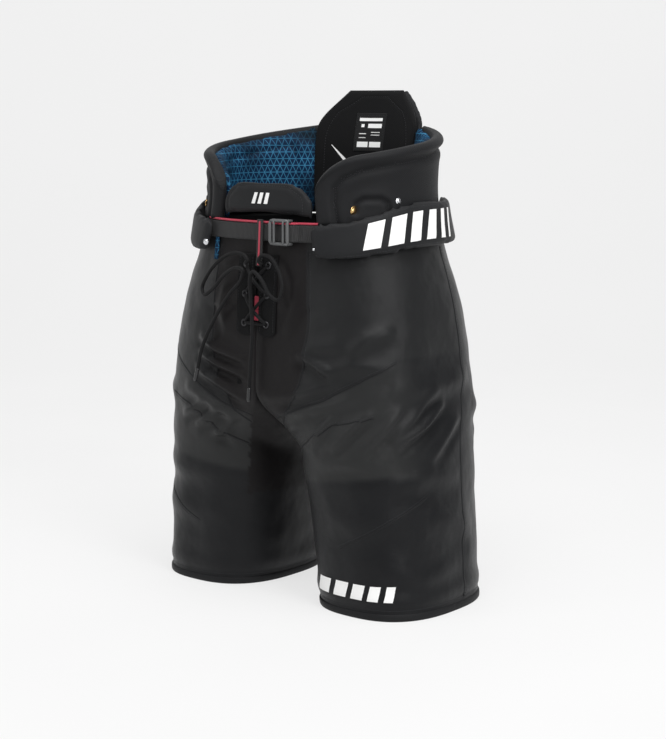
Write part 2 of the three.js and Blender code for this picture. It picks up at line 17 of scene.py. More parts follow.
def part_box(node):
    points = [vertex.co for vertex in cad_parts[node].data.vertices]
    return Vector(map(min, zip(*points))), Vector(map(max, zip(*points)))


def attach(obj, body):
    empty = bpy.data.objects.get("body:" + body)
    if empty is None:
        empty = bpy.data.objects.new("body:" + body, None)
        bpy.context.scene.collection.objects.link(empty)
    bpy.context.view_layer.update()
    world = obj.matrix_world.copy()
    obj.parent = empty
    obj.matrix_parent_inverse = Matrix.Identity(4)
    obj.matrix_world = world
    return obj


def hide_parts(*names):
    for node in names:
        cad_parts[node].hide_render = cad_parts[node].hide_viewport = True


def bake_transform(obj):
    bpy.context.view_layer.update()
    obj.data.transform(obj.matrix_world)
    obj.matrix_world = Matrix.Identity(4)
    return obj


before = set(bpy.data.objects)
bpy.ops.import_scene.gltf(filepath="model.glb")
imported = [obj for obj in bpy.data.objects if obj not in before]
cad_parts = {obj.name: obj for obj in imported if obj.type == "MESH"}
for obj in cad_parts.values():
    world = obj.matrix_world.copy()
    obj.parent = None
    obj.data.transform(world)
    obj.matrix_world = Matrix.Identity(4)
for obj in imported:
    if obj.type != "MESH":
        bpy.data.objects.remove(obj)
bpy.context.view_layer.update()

# %% [markdown]
# ## The garment's own sizes
# Everything is laid out from the frame: the rim of the trunk, the waist, the wings and the hems. The
# trunk and the thighs are rounded boxes whose half sizes change with height, so one smooth curve
# through a few stations gives the section anywhere.

# %% Heights and sections
MM = 0.001
LEFT, RIGHT = 1, -1
SIDE_NAMES = {LEFT: "left", RIGHT: "right"}


def low(node):
    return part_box(node)[0]


def high(node):
    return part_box(node)[1]


trunk_rim = low("left_hip_shell").z
trunk_top = high("left_hip_shell").z
waist = trunk_top - 24 * MM
crotch = high("left_thigh_front").z - 16 * MM
hem_top = high("left_hem").z
spine_top = high("spine_pad").z
hip_half_width = high("left_hip_shell").x
hip_half_depth = -low("left_front_panel").y
waist_half_width = 159 * MM
waist_half_depth = 112 * MM
rise = waist - crotch
print("waist", round(waist, 3), "crotch", round(crotch, 3), "spine top", round(spine_top, 3))

# %% A smooth curve through stations


def station_curve(rows):
    """A smooth curve through stations [height, value, value, ...]."""
    table = np.array(rows, float)
    heights, values = table[:, 0], table[:, 1:]
    slopes = np.gradient(values, heights, axis=0)

    def at(height):
        height = np.clip(np.asarray(height, float), heights[0], heights[-1])
        k = np.clip(np.searchsorted(heights, height) - 1, 0, len(heights) - 2)
        span = (heights[k + 1] - heights[k])[..., None]
        t = (height[..., None] - heights[k][..., None]) / span
        ease = t * t * (3 - 2 * t)
        lift = t * (1 - t) ** 2 * span * slopes[k] - t * t * (1 - t) * span * slopes[k + 1]
        return values[k] * (1 - ease) + values[k + 1] * ease + lift

    return at


trunk_section = station_curve([
    [crotch, hip_half_width, hip_half_depth, 3.4],
    [crotch + rise * 0.45, hip_half_width - 8 * MM, hip_half_depth - 2 * MM, 3.0],
    [crotch + rise * 0.75, hip_half_width - 18.2 * MM, hip_half_depth - 5 * MM, 2.6],
    [waist, waist_half_width, waist_half_depth, 2.35],
    [waist + 50 * MM, waist_half_width - 9 * MM, waist_half_depth - 2 * MM, 2.2],
    [waist + 110 * MM, waist_half_width - 8 * MM, waist_half_depth, 2.2],
    [spine_top, waist_half_width - 2 * MM, waist_half_depth + 16 * MM, 2.2],
])
leg_section = station_curve([
    [0, 126 * MM, 82 * MM, 99 * MM, 2.6],
    [crotch * 0.44, 116.8 * MM, 85 * MM, 104 * MM, 2.5],
    [crotch * 0.78, 109 * MM, 87 * MM, 113 * MM, 2.4],
    [crotch + 30 * MM, 103 * MM, 90 * MM, 119 * MM, 2.5],
])


print("trunk half width at the waist:", round(float(trunk_section(np.array(waist))[0]), 3))

# %% Points on the outlines


def rounded(angle, half_width, half_depth, squareness):
    """A point on a rounded box outline; angle in degrees, 0 along +X."""
    c, s = np.cos(np.radians(angle)), np.sin(np.radians(angle))
    power = 2 / squareness
    return half_width * np.sign(c) * np.abs(c) ** power, half_depth * np.sign(s) * np.abs(s) ** power


def trunk_point(angle, height, depth=0.0):
    angle, height, depth = np.broadcast_arrays(angle, np.asarray(height, float), depth)
    section = trunk_section(height)
    x, y = rounded(angle, section[..., 0] - depth, section[..., 1] - depth, section[..., 2])
    return np.stack([x, y, height], -1)


def trunk_angle(x, height, depth=0.0):
    section = trunk_section(height)
    share = np.clip(np.abs(x) / (section[..., 0] - depth), 0, 1) ** (section[..., 2] / 2)
    return -np.degrees(np.arccos(share))


def face_point(x, height, depth=0.0, back=False):
    """A point on the trunk's front (or back) face at a given distance from the middle."""
    x, height, depth = np.broadcast_arrays(np.asarray(x, float), np.asarray(height, float), depth)
    point = trunk_point(trunk_angle(x, height, depth), height, depth)
    y = np.abs(point[..., 1]) * (1 if back else -1)
    return np.stack([np.where(np.abs(x) < 1e-9, 0, np.sign(x)) * np.abs(point[..., 0]), y, height], -1)


def leg_point(angle, height, depth=0.0):
    """A point on the wearer's left thigh; 0 is outside, -90 the front, 180 the inside."""
    angle, height, depth = np.broadcast_arrays(angle, np.asarray(height, float), depth)
    section = leg_section(height)
    x, y = rounded(angle, section[..., 1] - depth, section[..., 2] - depth, section[..., 3])
    return np.stack([section[..., 0] + x, y, height], -1)


def smooth(value, start, end):
    t = np.clip((np.asarray(value, float) - start) / (end - start), 0, 1)
    return t * t * (3 - 2 * t)


def mix(a, b, share):
    return a + (b - a) * share


print("front middle at the waist:", face_point(0, waist).round(3).tolist())

# %% [markdown]
# ## Camera
# A long lens a little above hip height, forty degrees round to the wearer's left, keeps the sides of
# the garment parallel, as a catalogue picture does. It comes first, because the laces have to lie
# inside its view.

# %% Camera
VIEW_AZIMUTH = math.radians(40)
CAMERA_DISTANCE = 2.1
CAMERA_HEIGHT = 0.60
CAMERA_LENS = 83.2
AIM_HEIGHT, AIM_SIDEWAYS = 0.270, 0.0148
camera_data = bpy.data.cameras.new("catalogue_lens")
camera_data.lens = CAMERA_LENS
camera_data.sensor_width = 36
camera = bpy.data.objects.new("catalogue_camera", camera_data)
bpy.context.scene.collection.objects.link(camera)
camera.location = (CAMERA_DISTANCE * math.sin(VIEW_AZIMUTH), -CAMERA_DISTANCE * math.cos(VIEW_AZIMUTH),
                   CAMERA_HEIGHT)
sideways = Vector((math.cos(VIEW_AZIMUTH), math.sin(VIEW_AZIMUTH), 0))
aim = Vector((0, 0, AIM_HEIGHT)) + sideways * AIM_SIDEWAYS
camera.rotation_euler = (aim - camera.location).to_track_quat("-Z", "Y").to_euler()
bpy.context.scene.camera = camera
print("camera at", [round(v, 3) for v in camera.location])

# %% [markdown]
# ## Finishes
# Each cloth is a small node tree. Where a weave follows the cloth it reads the piece's own UV map,
# which is kept in metres, so that a thread has one real size all over the garment.

# %% Node helpers


class Finish:
    """A material under construction, with short calls for the nodes that it needs."""

    def __init__(self, name, roughness=0.6, specular=0.5, metallic=0.0, sheen=0.0):
        self.material = bpy.data.materials.new(name)
        self.material.use_nodes = True
        self.nodes = self.material.node_tree.nodes
        self.links = self.material.node_tree.links
        self.shader = self.nodes["Principled BSDF"]
        self.shader.inputs["Roughness"].default_value = roughness
        self.shader.inputs["Specular IOR Level"].default_value = specular
        self.shader.inputs["Metallic"].default_value = metallic
        self.shader.inputs["Sheen Weight"].default_value = sheen
        self.shader.inputs["Sheen Roughness"].default_value = 0.5

    def node(self, kind, **values):
        made = self.nodes.new(kind)
        for key, value in values.items():
            setattr(made, key, value)
        return made

    def join(self, source, target):
        self.links.new(source, target)

    def place(self, kind="UV"):
        return self.node("ShaderNodeTexCoord").outputs[kind]

    def mark(self, name):
        """A value painted on the mesh, such as where one cloth ends and the next begins."""
        return self.node("ShaderNodeAttribute", attribute_name=name).outputs["Fac"]

    def math(self, operation, a, b=None, c=None):
        made = self.node("ShaderNodeMath", operation=operation)
        for k, value in enumerate((a, b, c)):
            if value is None:
                continue
            if isinstance(value, (int, float)):
                made.inputs[k].default_value = value
            else:
                self.join(value, made.inputs[k])
        return made.outputs[0]

    def noise(self, place, scale, detail=3.0, roughness=0.5):
        made = self.node("ShaderNodeTexNoise")
        made.inputs["Scale"].default_value = scale
        made.inputs["Detail"].default_value = detail
        made.inputs["Roughness"].default_value = roughness
        self.join(place, made.inputs["Vector"])
        return made.outputs["Fac"]

    def ramp(self, value, stops):
        made = self.node("ShaderNodeValToRGB")
        while len(made.color_ramp.elements) < len(stops):
            made.color_ramp.elements.new(0.5)
        for element, (position, colour) in zip(made.color_ramp.elements, stops):
            element.position = position
            element.color = (*colour, 1)
        self.join(value, made.inputs["Fac"])
        return made.outputs["Color"]

    def blend(self, share, a, b):
        made = self.node("ShaderNodeMix", data_type="RGBA")
        for slot, value in ((0, share), (6, a), (7, b)):
            if isinstance(value, (tuple, list)):
                made.inputs[slot].default_value = (*value, 1)
            elif isinstance(value, (int, float)):
                made.inputs[slot].default_value = value
            else:
                self.join(value, made.inputs[slot])
        return made.outputs[2]

    def weave(self, across, along, place=None):
        """Height of a plain weave, 0 to 1, with threads this far apart in metres."""
        split = self.node("ShaderNodeSeparateXYZ")
        self.join(place or self.place(), split.inputs[0])
        u = self.math("SINE", self.math("MULTIPLY", split.outputs[0], math.pi / across))
        v = self.math("SINE", self.math("MULTIPLY", split.outputs[1], math.pi / along))
        return self.math("MULTIPLY_ADD", self.math("MULTIPLY", u, v), 0.5, 0.5)

    def colour(self, value):
        self.join(value, self.shader.inputs["Base Color"])
        return self

    def rough(self, value, lowest, highest):
        made = self.node("ShaderNodeMapRange")
        made.inputs["To Min"].default_value = lowest
        made.inputs["To Max"].default_value = highest
        self.join(value, made.inputs["Value"])
        self.join(made.outputs["Result"], self.shader.inputs["Roughness"])
        return self

    def bumps(self, *layers):
        """Stacks bump layers, each (height, depth in metres)."""
        normal = None
        for height, depth in layers:
            made = self.node("ShaderNodeBump")
            made.inputs["Strength"].default_value = 1.0
            made.inputs["Distance"].default_value = depth
            self.join(height, made.inputs["Height"])
            if normal is not None:
                self.join(normal, made.inputs["Normal"])
            normal = made.outputs["Normal"]
        self.join(normal, self.shader.inputs["Normal"])
        return self


print("finish helpers ready")

# %% [markdown]
# Woven cloth is never one flat colour. Slow clouds of shade, the threads of the weave and fine creases
# are three sizes of the same thing, so one function layers them and each cloth only sets its numbers.

# %% Woven cloth


def cloth_finish(name, dark, light, thread, roughness=(0.5, 0.68), sheen=0.03, depth=0.00012, cloud=14,
                 crease=0.0, specular=0.13, zones=False):
    """Woven cloth: slow shade changes, a thread weave, fine creases and a little fuzz.

    With zones, the piece's own marks darken its stretch cloth. Where the glossy zone lies, they lower the
    roughness and add a painted highlight: a lighter colour that stands in for light on the upper thigh and
    hip.
    """
    finish = Finish(name, specular=specular, sheen=sheen)
    here = finish.place("Object")
    clouds = finish.noise(here, cloud, 4)
    fuzz = finish.noise(here, 900, 2)
    weave = finish.weave(thread, thread)
    shade = finish.ramp(clouds, [(0.3, dark), (0.72, light)])
    thread_shade = finish.math("MULTIPLY_ADD", weave, 0.25, finish.math("MULTIPLY", fuzz, 0.2))
    shade = finish.blend(thread_shade, shade, tuple(min(1.0, c * 1.9) for c in light))
    wrinkles = finish.noise(here, 15, 3, 0.5)
    if zones:
        stretch, satin_and_highlight = finish.mark("stretch_zone"), finish.mark("satin_zone")
        shade = finish.blend(stretch, shade, (0.0062, 0.0052, 0.0056))
        # Painted highlight: over the glossy zone the colour is lifted towards a lighter grey, standing in for
        # the light that falls on the upper thigh and hip.
        shade = finish.blend(finish.math("MULTIPLY", satin_and_highlight, 0.7), shade, (0.026, 0.0265, 0.0265))
        level = finish.math("MULTIPLY_ADD", stretch, 0.9, finish.math("MULTIPLY", satin_and_highlight, -0.10))
        finish.rough(finish.math("ADD", clouds, level), *roughness)
    else:
        finish.rough(clouds, *roughness)
    finish.colour(shade)
    finish.bumps((wrinkles, crease), (weave, depth), (fuzz, depth * 0.6))
    return finish.material

# %% Cloth and trim finishes
INK = (0.0044, 0.0046, 0.0054)
LIT = (0.0072, 0.0075, 0.0084)
nylon = cloth_finish("shell_nylon", INK, LIT, 0.0009, (0.28, 0.44), crease=0.004, specular=0.155,
                     zones=True)
guard_nylon = cloth_finish("guard_nylon", (0.0085, 0.0088, 0.0098), (0.013, 0.0134, 0.0144), 0.0009,
                           (0.44, 0.58), crease=0.0012)
hem_nylon = cloth_finish("hem_nylon", (0.007, 0.0072, 0.008), (0.011, 0.0112, 0.012), 0.0011, (0.5, 0.62))
pad_knit = cloth_finish("pad_knit", (0.0070, 0.0072, 0.0080), (0.0110, 0.0113, 0.0123), 0.0014, (0.52, 0.66),
                        depth=0.0002, crease=0.0008)
spine_knit = cloth_finish("spine_knit", (0.0020, 0.0020, 0.0023), (0.0038, 0.0038, 0.0042), 0.0016,
                          (0.75, 0.9), depth=0.00025, specular=0.15)
foam_cover = cloth_finish("foam_cover", (0.02, 0.02, 0.022), (0.032, 0.032, 0.035), 0.0022, (0.75, 0.9),
                          depth=0.0003)
lace_braid = cloth_finish("lace_braid", (0.004, 0.004, 0.0045), (0.008, 0.008, 0.0085), 0.0009, (0.5, 0.7),
                          depth=0.0002)
print_white = cloth_finish("print_white", (0.78, 0.78, 0.77), (0.86, 0.86, 0.85), 0.0009, (0.4, 0.5),
                           0.0, 0.00005)
label_satin = cloth_finish("label_satin", (0.006, 0.006, 0.0065), (0.009, 0.009, 0.0095), 0.0006, (0.4, 0.5),
                           depth=0.00004)
print("cloth finishes:", len(bpy.data.materials))

# %% [markdown]
# Webbing is woven much thicker than cloth, with ribs across the band. They could be modelled one by
# one, but two sine waves on the piece's own UV map give ribs of a real width that follow every bend.

# %% Webbing finishes


def webbing_finish(name, dark, light, rib=0.0022, roughness=0.65):
    """Webbing: ribs across the band with fine threads along it."""
    finish = Finish(name, roughness=roughness, sheen=0.08)
    split = finish.node("ShaderNodeSeparateXYZ")
    finish.join(finish.place(), split.inputs[0])
    ribs = finish.math("SINE", finish.math("MULTIPLY", split.outputs[0], 2 * math.pi / rib))
    threads = finish.math("SINE", finish.math("MULTIPLY", split.outputs[1], 2 * math.pi / 0.0008))
    height = finish.math("MULTIPLY_ADD", ribs, 0.5, 0.5)
    finish.colour(finish.ramp(height, [(0.0, dark), (1.0, light)]))
    finish.bumps((height, 0.0003), (threads, 0.0001))
    return finish.material


belt_webbing = webbing_finish("belt_webbing", (0.004, 0.004, 0.0045), (0.010, 0.010, 0.011))
red_tape = webbing_finish("red_tape", (0.40, 0.018, 0.045), (0.56, 0.040, 0.085), 0.0012, 0.5)
print("webbing finishes: belt and red tape")

# %% [markdown]
# The linings carry a printed net of triangles on deep blue. Three families of parallel lines, sixty
# degrees apart, draw the net, and a slow noise fades parts of it, so it never looks stamped.

# %% Blue lining finish


NET_CELL = 0.0085


def lining_finish():
    finish = Finish("blue_lining", roughness=0.7, specular=0.12, sheen=0.0)
    place = finish.place()
    split = finish.node("ShaderNodeSeparateXYZ")
    finish.join(place, split.inputs[0])
    u, v = split.outputs[0], split.outputs[1]
    net = None
    for turn in (0, 60, 120):
        c, s = math.cos(math.radians(turn)), math.sin(math.radians(turn))
        along = finish.math("ADD", finish.math("MULTIPLY", u, s), finish.math("MULTIPLY", v, c))
        cell = finish.math("MULTIPLY", along, 1 / NET_CELL)
        saw = finish.math("ABSOLUTE", finish.math("SUBTRACT", finish.math("FRACT", cell), 0.5))
        line = finish.math("GREATER_THAN", saw, 0.44)
        net = line if net is None else finish.math("MAXIMUM", net, line)
    fade = finish.noise(finish.place("Object"), 13, 2)
    bright = finish.math("MULTIPLY_ADD", fade, 3.4, -1.35)
    bright = finish.math("MAXIMUM", finish.math("MINIMUM", bright, 1.0), 0.10)
    drawn = finish.math("MULTIPLY", net, bright)
    ground = finish.ramp(fade, [(0.35, (0.0012, 0.007, 0.014)), (0.7, (0.003, 0.022, 0.070))])
    finish.colour(finish.blend(drawn, ground, (0.045, 0.23, 0.40)))
    finish.bumps((finish.weave(0.0011, 0.0011), 0.00015), (finish.noise(place, 700, 2), 0.0001))
    return finish.material


blue_lining = lining_finish()
print("lining net: cells of", NET_CELL * 1000, "mm")

# %% [markdown]
# Plastic and metal trim has no weave. A fine speckle in the colour and slow changes of roughness keep
# it from looking like one flat paint, which a plain colour alone would do.

# %% Hard trim finishes


def hard_finish(name, colour, roughness, metallic=0.0, grain=600, depth=0.00006):
    finish = Finish(name, roughness=roughness, metallic=metallic)
    here = finish.place("Object")
    speckle = finish.noise(here, grain, 3)
    tint = tuple(min(1.0, c * 1.25) for c in colour)
    finish.colour(finish.blend(speckle, colour, tint))
    finish.rough(finish.noise(here, 60, 4), roughness * 0.8, roughness * 1.2)
    finish.bumps((speckle, depth))
    return finish.material


buckle_plastic = hard_finish("buckle_plastic", (0.085, 0.088, 0.09), 0.42)
brass_metal = hard_finish("brass_metal", (0.62, 0.40, 0.17), 0.24, 1.0, 300, 0.00002)
steel_metal = hard_finish("steel_metal", (0.62, 0.63, 0.65), 0.22, 1.0, 300, 0.00002)
dark_metal = hard_finish("dark_metal", (0.055, 0.055, 0.058), 0.34, 1.0, 300, 0.00002)
aglet_plastic = hard_finish("aglet_plastic", (0.012, 0.012, 0.013), 0.25)
plate_plastic = hard_finish("plate_plastic", (0.030, 0.030, 0.033), 0.4)
print("finishes in all:", len(bpy.data.materials))

# %% [markdown]
# ## Mesh helpers
# Every cloth piece starts as a grid of points on the body's own surface. A pad is two such grids that
# meet in a rounded edge, so it is closed and crowned from the start.

# %% Building meshes from grids


def new_piece(name, points, faces, material, uvs=None, merge=0.0, marks=None):
    mesh = bpy.data.meshes.new(name)
    mesh.from_pydata([tuple(p) for p in points], [], [tuple(f) for f in faces])
    if uvs is not None:
        layer = mesh.uv_layers.new(name="UVMap")
        corner = np.array([v for f in faces for v in f])
        layer.data.foreach_set("uv", np.asarray(uvs, float)[corner].ravel())
    for label, values in (marks or {}).items():
        mesh.attributes.new(label, "FLOAT", "POINT").data.foreach_set("value", np.asarray(values, float))
    mesh.materials.append(material)
    piece = bpy.data.objects.new(name, mesh)
    bpy.context.scene.collection.objects.link(piece)
    shape = bmesh.new()
    shape.from_mesh(mesh)
    if merge:
        bmesh.ops.remove_doubles(shape, verts=shape.verts, dist=merge)
    bmesh.ops.recalc_face_normals(shape, faces=shape.faces)
    shape.to_mesh(mesh)
    shape.free()
    mesh.shade_smooth()
    return piece


def grid_faces(rows, columns, start=0):
    """Faces of a grid whose points run along the columns first."""
    made = []
    for j in range(rows - 1):
        for i in range(columns - 1):
            a = start + j * columns + i
            made.append((a, a + 1, a + 1 + columns, a + columns))
    return made


print("mesh builder ready")

# %% Points, twins and modifiers


def points_of(piece):
    co = np.zeros(len(piece.data.vertices) * 3)
    piece.data.vertices.foreach_get("co", co)
    return co.reshape(-1, 3)


def normals_of(piece):
    co = np.zeros(len(piece.data.vertices) * 3)
    piece.data.vertices.foreach_get("normal", co)
    return co.reshape(-1, 3)


def move_points(piece, points):
    piece.data.vertices.foreach_set("co", np.asarray(points, float).ravel())
    piece.data.update()


def mirror_copy(piece, name):
    """The same piece for the wearer's other side, with its faces pointing out again."""
    twin = piece.copy()
    twin.data = piece.data.copy()
    twin.name = name
    twin.data.name = name
    bpy.context.scene.collection.objects.link(twin)
    move_points(twin, points_of(twin) * (-1, 1, 1))
    twin.data.flip_normals()
    for key in list(twin.keys()):
        del twin[key]
    return twin


def apply_modifiers(piece):
    """Turns the piece and its modifiers into one plain mesh."""
    bpy.context.view_layer.update()
    graph = bpy.context.evaluated_depsgraph_get()
    mesh = bpy.data.meshes.new_from_object(piece.evaluated_get(graph))
    piece.modifiers.clear()
    piece.data = mesh
    mesh.name = piece.name
    return piece


def cloth_uvs(piece, kind):
    """A UV map in metres: wrapped round the body, or flat as seen from the front."""
    co = points_of(piece)
    if kind == "wrap":
        u = np.arctan2(np.abs(co[:, 0]), co[:, 1]) * 0.15
    else:
        u = co[:, 0]
    mesh = piece.data
    layer = mesh.uv_layers.get("UVMap") or mesh.uv_layers.new(name="UVMap")
    corner = np.zeros(len(mesh.loops), int)
    mesh.loops.foreach_get("vertex_index", corner)
    layer.data.foreach_set("uv", np.stack([u, co[:, 2]], 1)[corner].ravel())
    return piece


print("point helpers ready")

# %% A pad from two grids


def edge_steps(count, crowd=0.6):
    """Steps from 0 to 1 that crowd towards both ends, where a pad's edge is rounded."""
    even = np.linspace(0, 1, count)
    return mix(even, (1 - np.cos(np.pi * even)) / 2, crowd)


def pad_piece(name, place, columns, rows, outer, inner, material, edge=(26, 10), kind="wrap"):
    """A closed, crowned pad. place(s, t, depth) puts a point on the body; outer and inner are depths."""
    s, t = np.meshgrid(edge_steps(columns), edge_steps(rows))
    outer_depth = outer(s, t) if callable(outer) else np.full_like(s, outer)
    inner_depth = inner(s, t) if callable(inner) else np.full_like(s, inner)
    crown = (1 - np.abs(2 * s - 1) ** edge[0]) * (1 - np.abs(2 * t - 1) ** edge[1])
    crown = np.clip(crown, 0, 1) ** 0.5
    middle = (outer_depth + inner_depth) / 2
    front = place(s, t, mix(middle, outer_depth, crown)).reshape(-1, 3)
    back = place(s, t, mix(middle, inner_depth, crown)).reshape(-1, 3)
    faces = grid_faces(rows, columns)
    faces += [tuple(reversed(f)) for f in grid_faces(rows, columns, rows * columns)]
    piece = new_piece(name, np.vstack([front, back]), faces, material, merge=0.00005)
    return cloth_uvs(piece, kind)

# %% [markdown]
# Padded pieces swell between their seams. A short cloth simulation with air pressure inside, gravity
# off and a limit on how far a point may travel gives that swelling, with small honest wrinkles. The
# result is applied, so nothing is left to simulate later.

# %% Swelling a pad with cloth simulation
VOXEL = 0.0048
PUFF_FRAMES = 20


def puff(piece, cap, pressure=4.0, kind="wrap"):
    """Fills a closed pad with air and keeps every point within cap of where it started."""
    remesh = piece.modifiers.new("even_skin", "REMESH")
    remesh.mode = "VOXEL"
    remesh.voxel_size = VOXEL
    apply_modifiers(piece)
    start = points_of(piece)
    cloth = piece.modifiers.new("swell", "CLOTH")
    cloth.settings.use_pressure = True
    cloth.settings.uniform_pressure_force = pressure
    cloth.settings.effector_weights.gravity = 0
    cloth.settings.quality = 5
    cloth.settings.tension_stiffness = 15
    cloth.settings.compression_stiffness = 5
    cloth.settings.bending_stiffness = 0.3
    cloth.point_cache.frame_start = 1
    cloth.point_cache.frame_end = PUFF_FRAMES
    for step in range(1, PUFF_FRAMES + 1):
        bpy.context.scene.frame_set(step)
    graph = bpy.context.evaluated_depsgraph_get()
    swollen = piece.evaluated_get(graph).to_mesh()
    end = np.zeros(len(swollen.vertices) * 3)
    swollen.vertices.foreach_get("co", end)
    piece.evaluated_get(graph).to_mesh_clear()
    piece.modifiers.clear()
    bpy.context.scene.frame_set(1)
    travel = end.reshape(-1, 3) - start
    length = np.linalg.norm(travel, axis=1, keepdims=True)
    move_points(piece, start + travel * np.minimum(1, cap / np.maximum(length, 1e-9)))
    finer = piece.modifiers.new("finer", "SUBSURF")
    finer.levels = finer.render_levels = 1
    apply_modifiers(piece)
    piece.data.shade_smooth()
    print(piece.name, "swelled by up to", round(float(length.max()) * 1000, 1), "mm")
    return cloth_uvs(piece, kind)

# %% Sewn channels and folds


def distance_to_path(points, path):
    """Distance of each point from a polyline, and how far along it the nearest place is (0 to 1)."""
    path = np.asarray(path, float)
    best = np.full(len(points), 9.0)
    along = np.zeros(len(points))
    lengths = np.linalg.norm(np.diff(path, axis=0), axis=1)
    before = np.concatenate([[0], np.cumsum(lengths)])
    for k, (a, b) in enumerate(zip(path[:-1], path[1:])):
        t = np.clip(((points - a) @ (b - a)) / max((b - a) @ (b - a), 1e-12), 0, 1)
        d = np.linalg.norm(points - (a + t[:, None] * (b - a)), axis=1)
        nearer = d < best
        best[nearer] = d[nearer]
        along[nearer] = (before[k] + t[nearer] * lengths[k]) / before[-1]
    return best, along


def press_channel(piece, path, width, depth):
    """Presses a sewn channel into the skin along a path, and puffs the cloth on each side of it."""
    points = points_of(piece)
    gap, _ = distance_to_path(points, path)
    groove = np.exp(-(gap / width) ** 2) * depth
    shoulder = np.exp(-((gap - 2.6 * width) / (1.5 * width)) ** 2) * depth * 0.25
    move_points(piece, points + normals_of(piece) * (shoulder - groove)[:, None])


def skin_of(piece):
    """A search tree of a piece's surface, for laying trim on it."""
    piece.data.calc_loop_triangles()
    triangles = np.array([tuple(t.vertices) for t in piece.data.loop_triangles])
    points = points_of(piece)
    a, b, c = [points[triangles[:, k]] - points.mean(0) for k in range(3)]
    if np.einsum("ij,ij->i", a, np.cross(b, c)).sum() < 0:
        triangles = triangles[:, ::-1]
    return BVHTree.FromPolygons([tuple(p) for p in points], [tuple(int(k) for k in t) for t in triangles])


def lay_on(tree, points, lift):
    """Moves points to the nearest place on a skin and lifts them off it."""
    laid, normals = [], []
    for point in points:
        place, normal, _, _ = tree.find_nearest(Vector(point))
        laid.append(place + normal * lift)
        normals.append(normal)
    return np.array([tuple(p) for p in laid]), np.array([tuple(n) for n in normals])


print("mesh helpers ready")

# %% [markdown]
# ## The nylon shell
# One continuous cloth runs from each hem to the waist, so each half of the garment is one mesh that
# turns from the thigh into the trunk at the groin. Its outside goes from the front middle round the hip to
# the back middle. Its inside closes the thigh and ends on the saddle seam between the legs, where the two
# halves meet.

# %% Shell grid
GROIN_LOW = crotch - 43 * MM
GROIN_HIGH = crotch + 34 * MM
SHELL_BOTTOM = 4 * MM
SHELL_CELL = 3.6 * MM
SHELL_THICK = 1.6 * MM
CORNER = 135
HALF_GIRTH = 0.5
INNER_GIRTH = 0.25
SLIT_LOW = crotch + 114 * MM


def arc_angles(place, height, start, end, shares):
    """Angles at given shares of an outline's length, so that columns are evenly spaced."""
    angles = np.linspace(start, end, 721)
    steps = np.linalg.norm(np.diff(place(angles, height), axis=0), axis=1)
    run = np.concatenate([[0], np.cumsum(steps)])
    return np.interp(np.asarray(shares) * run[-1], run, angles)


def shell_row(shares, height, depth=0.0):
    """Points of the outer shell at one height, from the front middle round to the back middle."""
    leg = leg_point(arc_angles(leg_point, height, -CORNER, CORNER, shares), height, depth)
    trunk = trunk_point(arc_angles(trunk_point, max(height, crotch), -90, 90, shares), height, depth)
    return mix(leg, trunk, smooth(height, GROIN_LOW, GROIN_HIGH))


def inseam_row(shares, share_up):
    """Points of the inner thigh at one share of its height, from the back corner to the front one."""
    top = crotch + (GROIN_HIGH - crotch) * np.abs(np.cos(np.pi * shares)) ** 3
    height = SHELL_BOTTOM + (top - SHELL_BOTTOM) * share_up
    middle = SHELL_BOTTOM + (GROIN_HIGH - SHELL_BOTTOM) * share_up
    angles = arc_angles(leg_point, middle, CORNER, 360 - CORNER, shares)
    half_depth = trunk_section(np.maximum(height, crotch))[..., 1]
    saddle = np.stack([np.zeros_like(shares), half_depth * np.cos(np.pi * shares), height], -1)
    into_saddle = smooth(height, top - (GROIN_HIGH - GROIN_LOW), top)[..., None]
    return mix(leg_point(angles, height), saddle, into_saddle)


def shell_path(stops, count=40):
    """A smooth line on the shell through stops of (share round, height)."""
    stops = np.array(stops, float)
    run = np.linspace(0, 1, len(stops))
    fine = np.linspace(0, 1, count)
    shares, heights = np.interp(fine, run, stops[:, 0]), np.interp(fine, run, stops[:, 1])
    for _ in range(2):
        shares[1:-1] = (shares[:-2] + 2 * shares[1:-1] + shares[2:]) / 4
        heights[1:-1] = (heights[:-2] + 2 * heights[1:-1] + heights[2:]) / 4
    return np.array([shell_row(np.array([s]), z)[0] for s, z in zip(shares, heights)])


print("groin from", round(GROIN_LOW, 3), "to", round(GROIN_HIGH, 3))

# %% [markdown]
# The folds of worn cloth are ridges with a valley beside them. Each one is a line on the shell with a
# width and a height, and it fades out towards both ends.

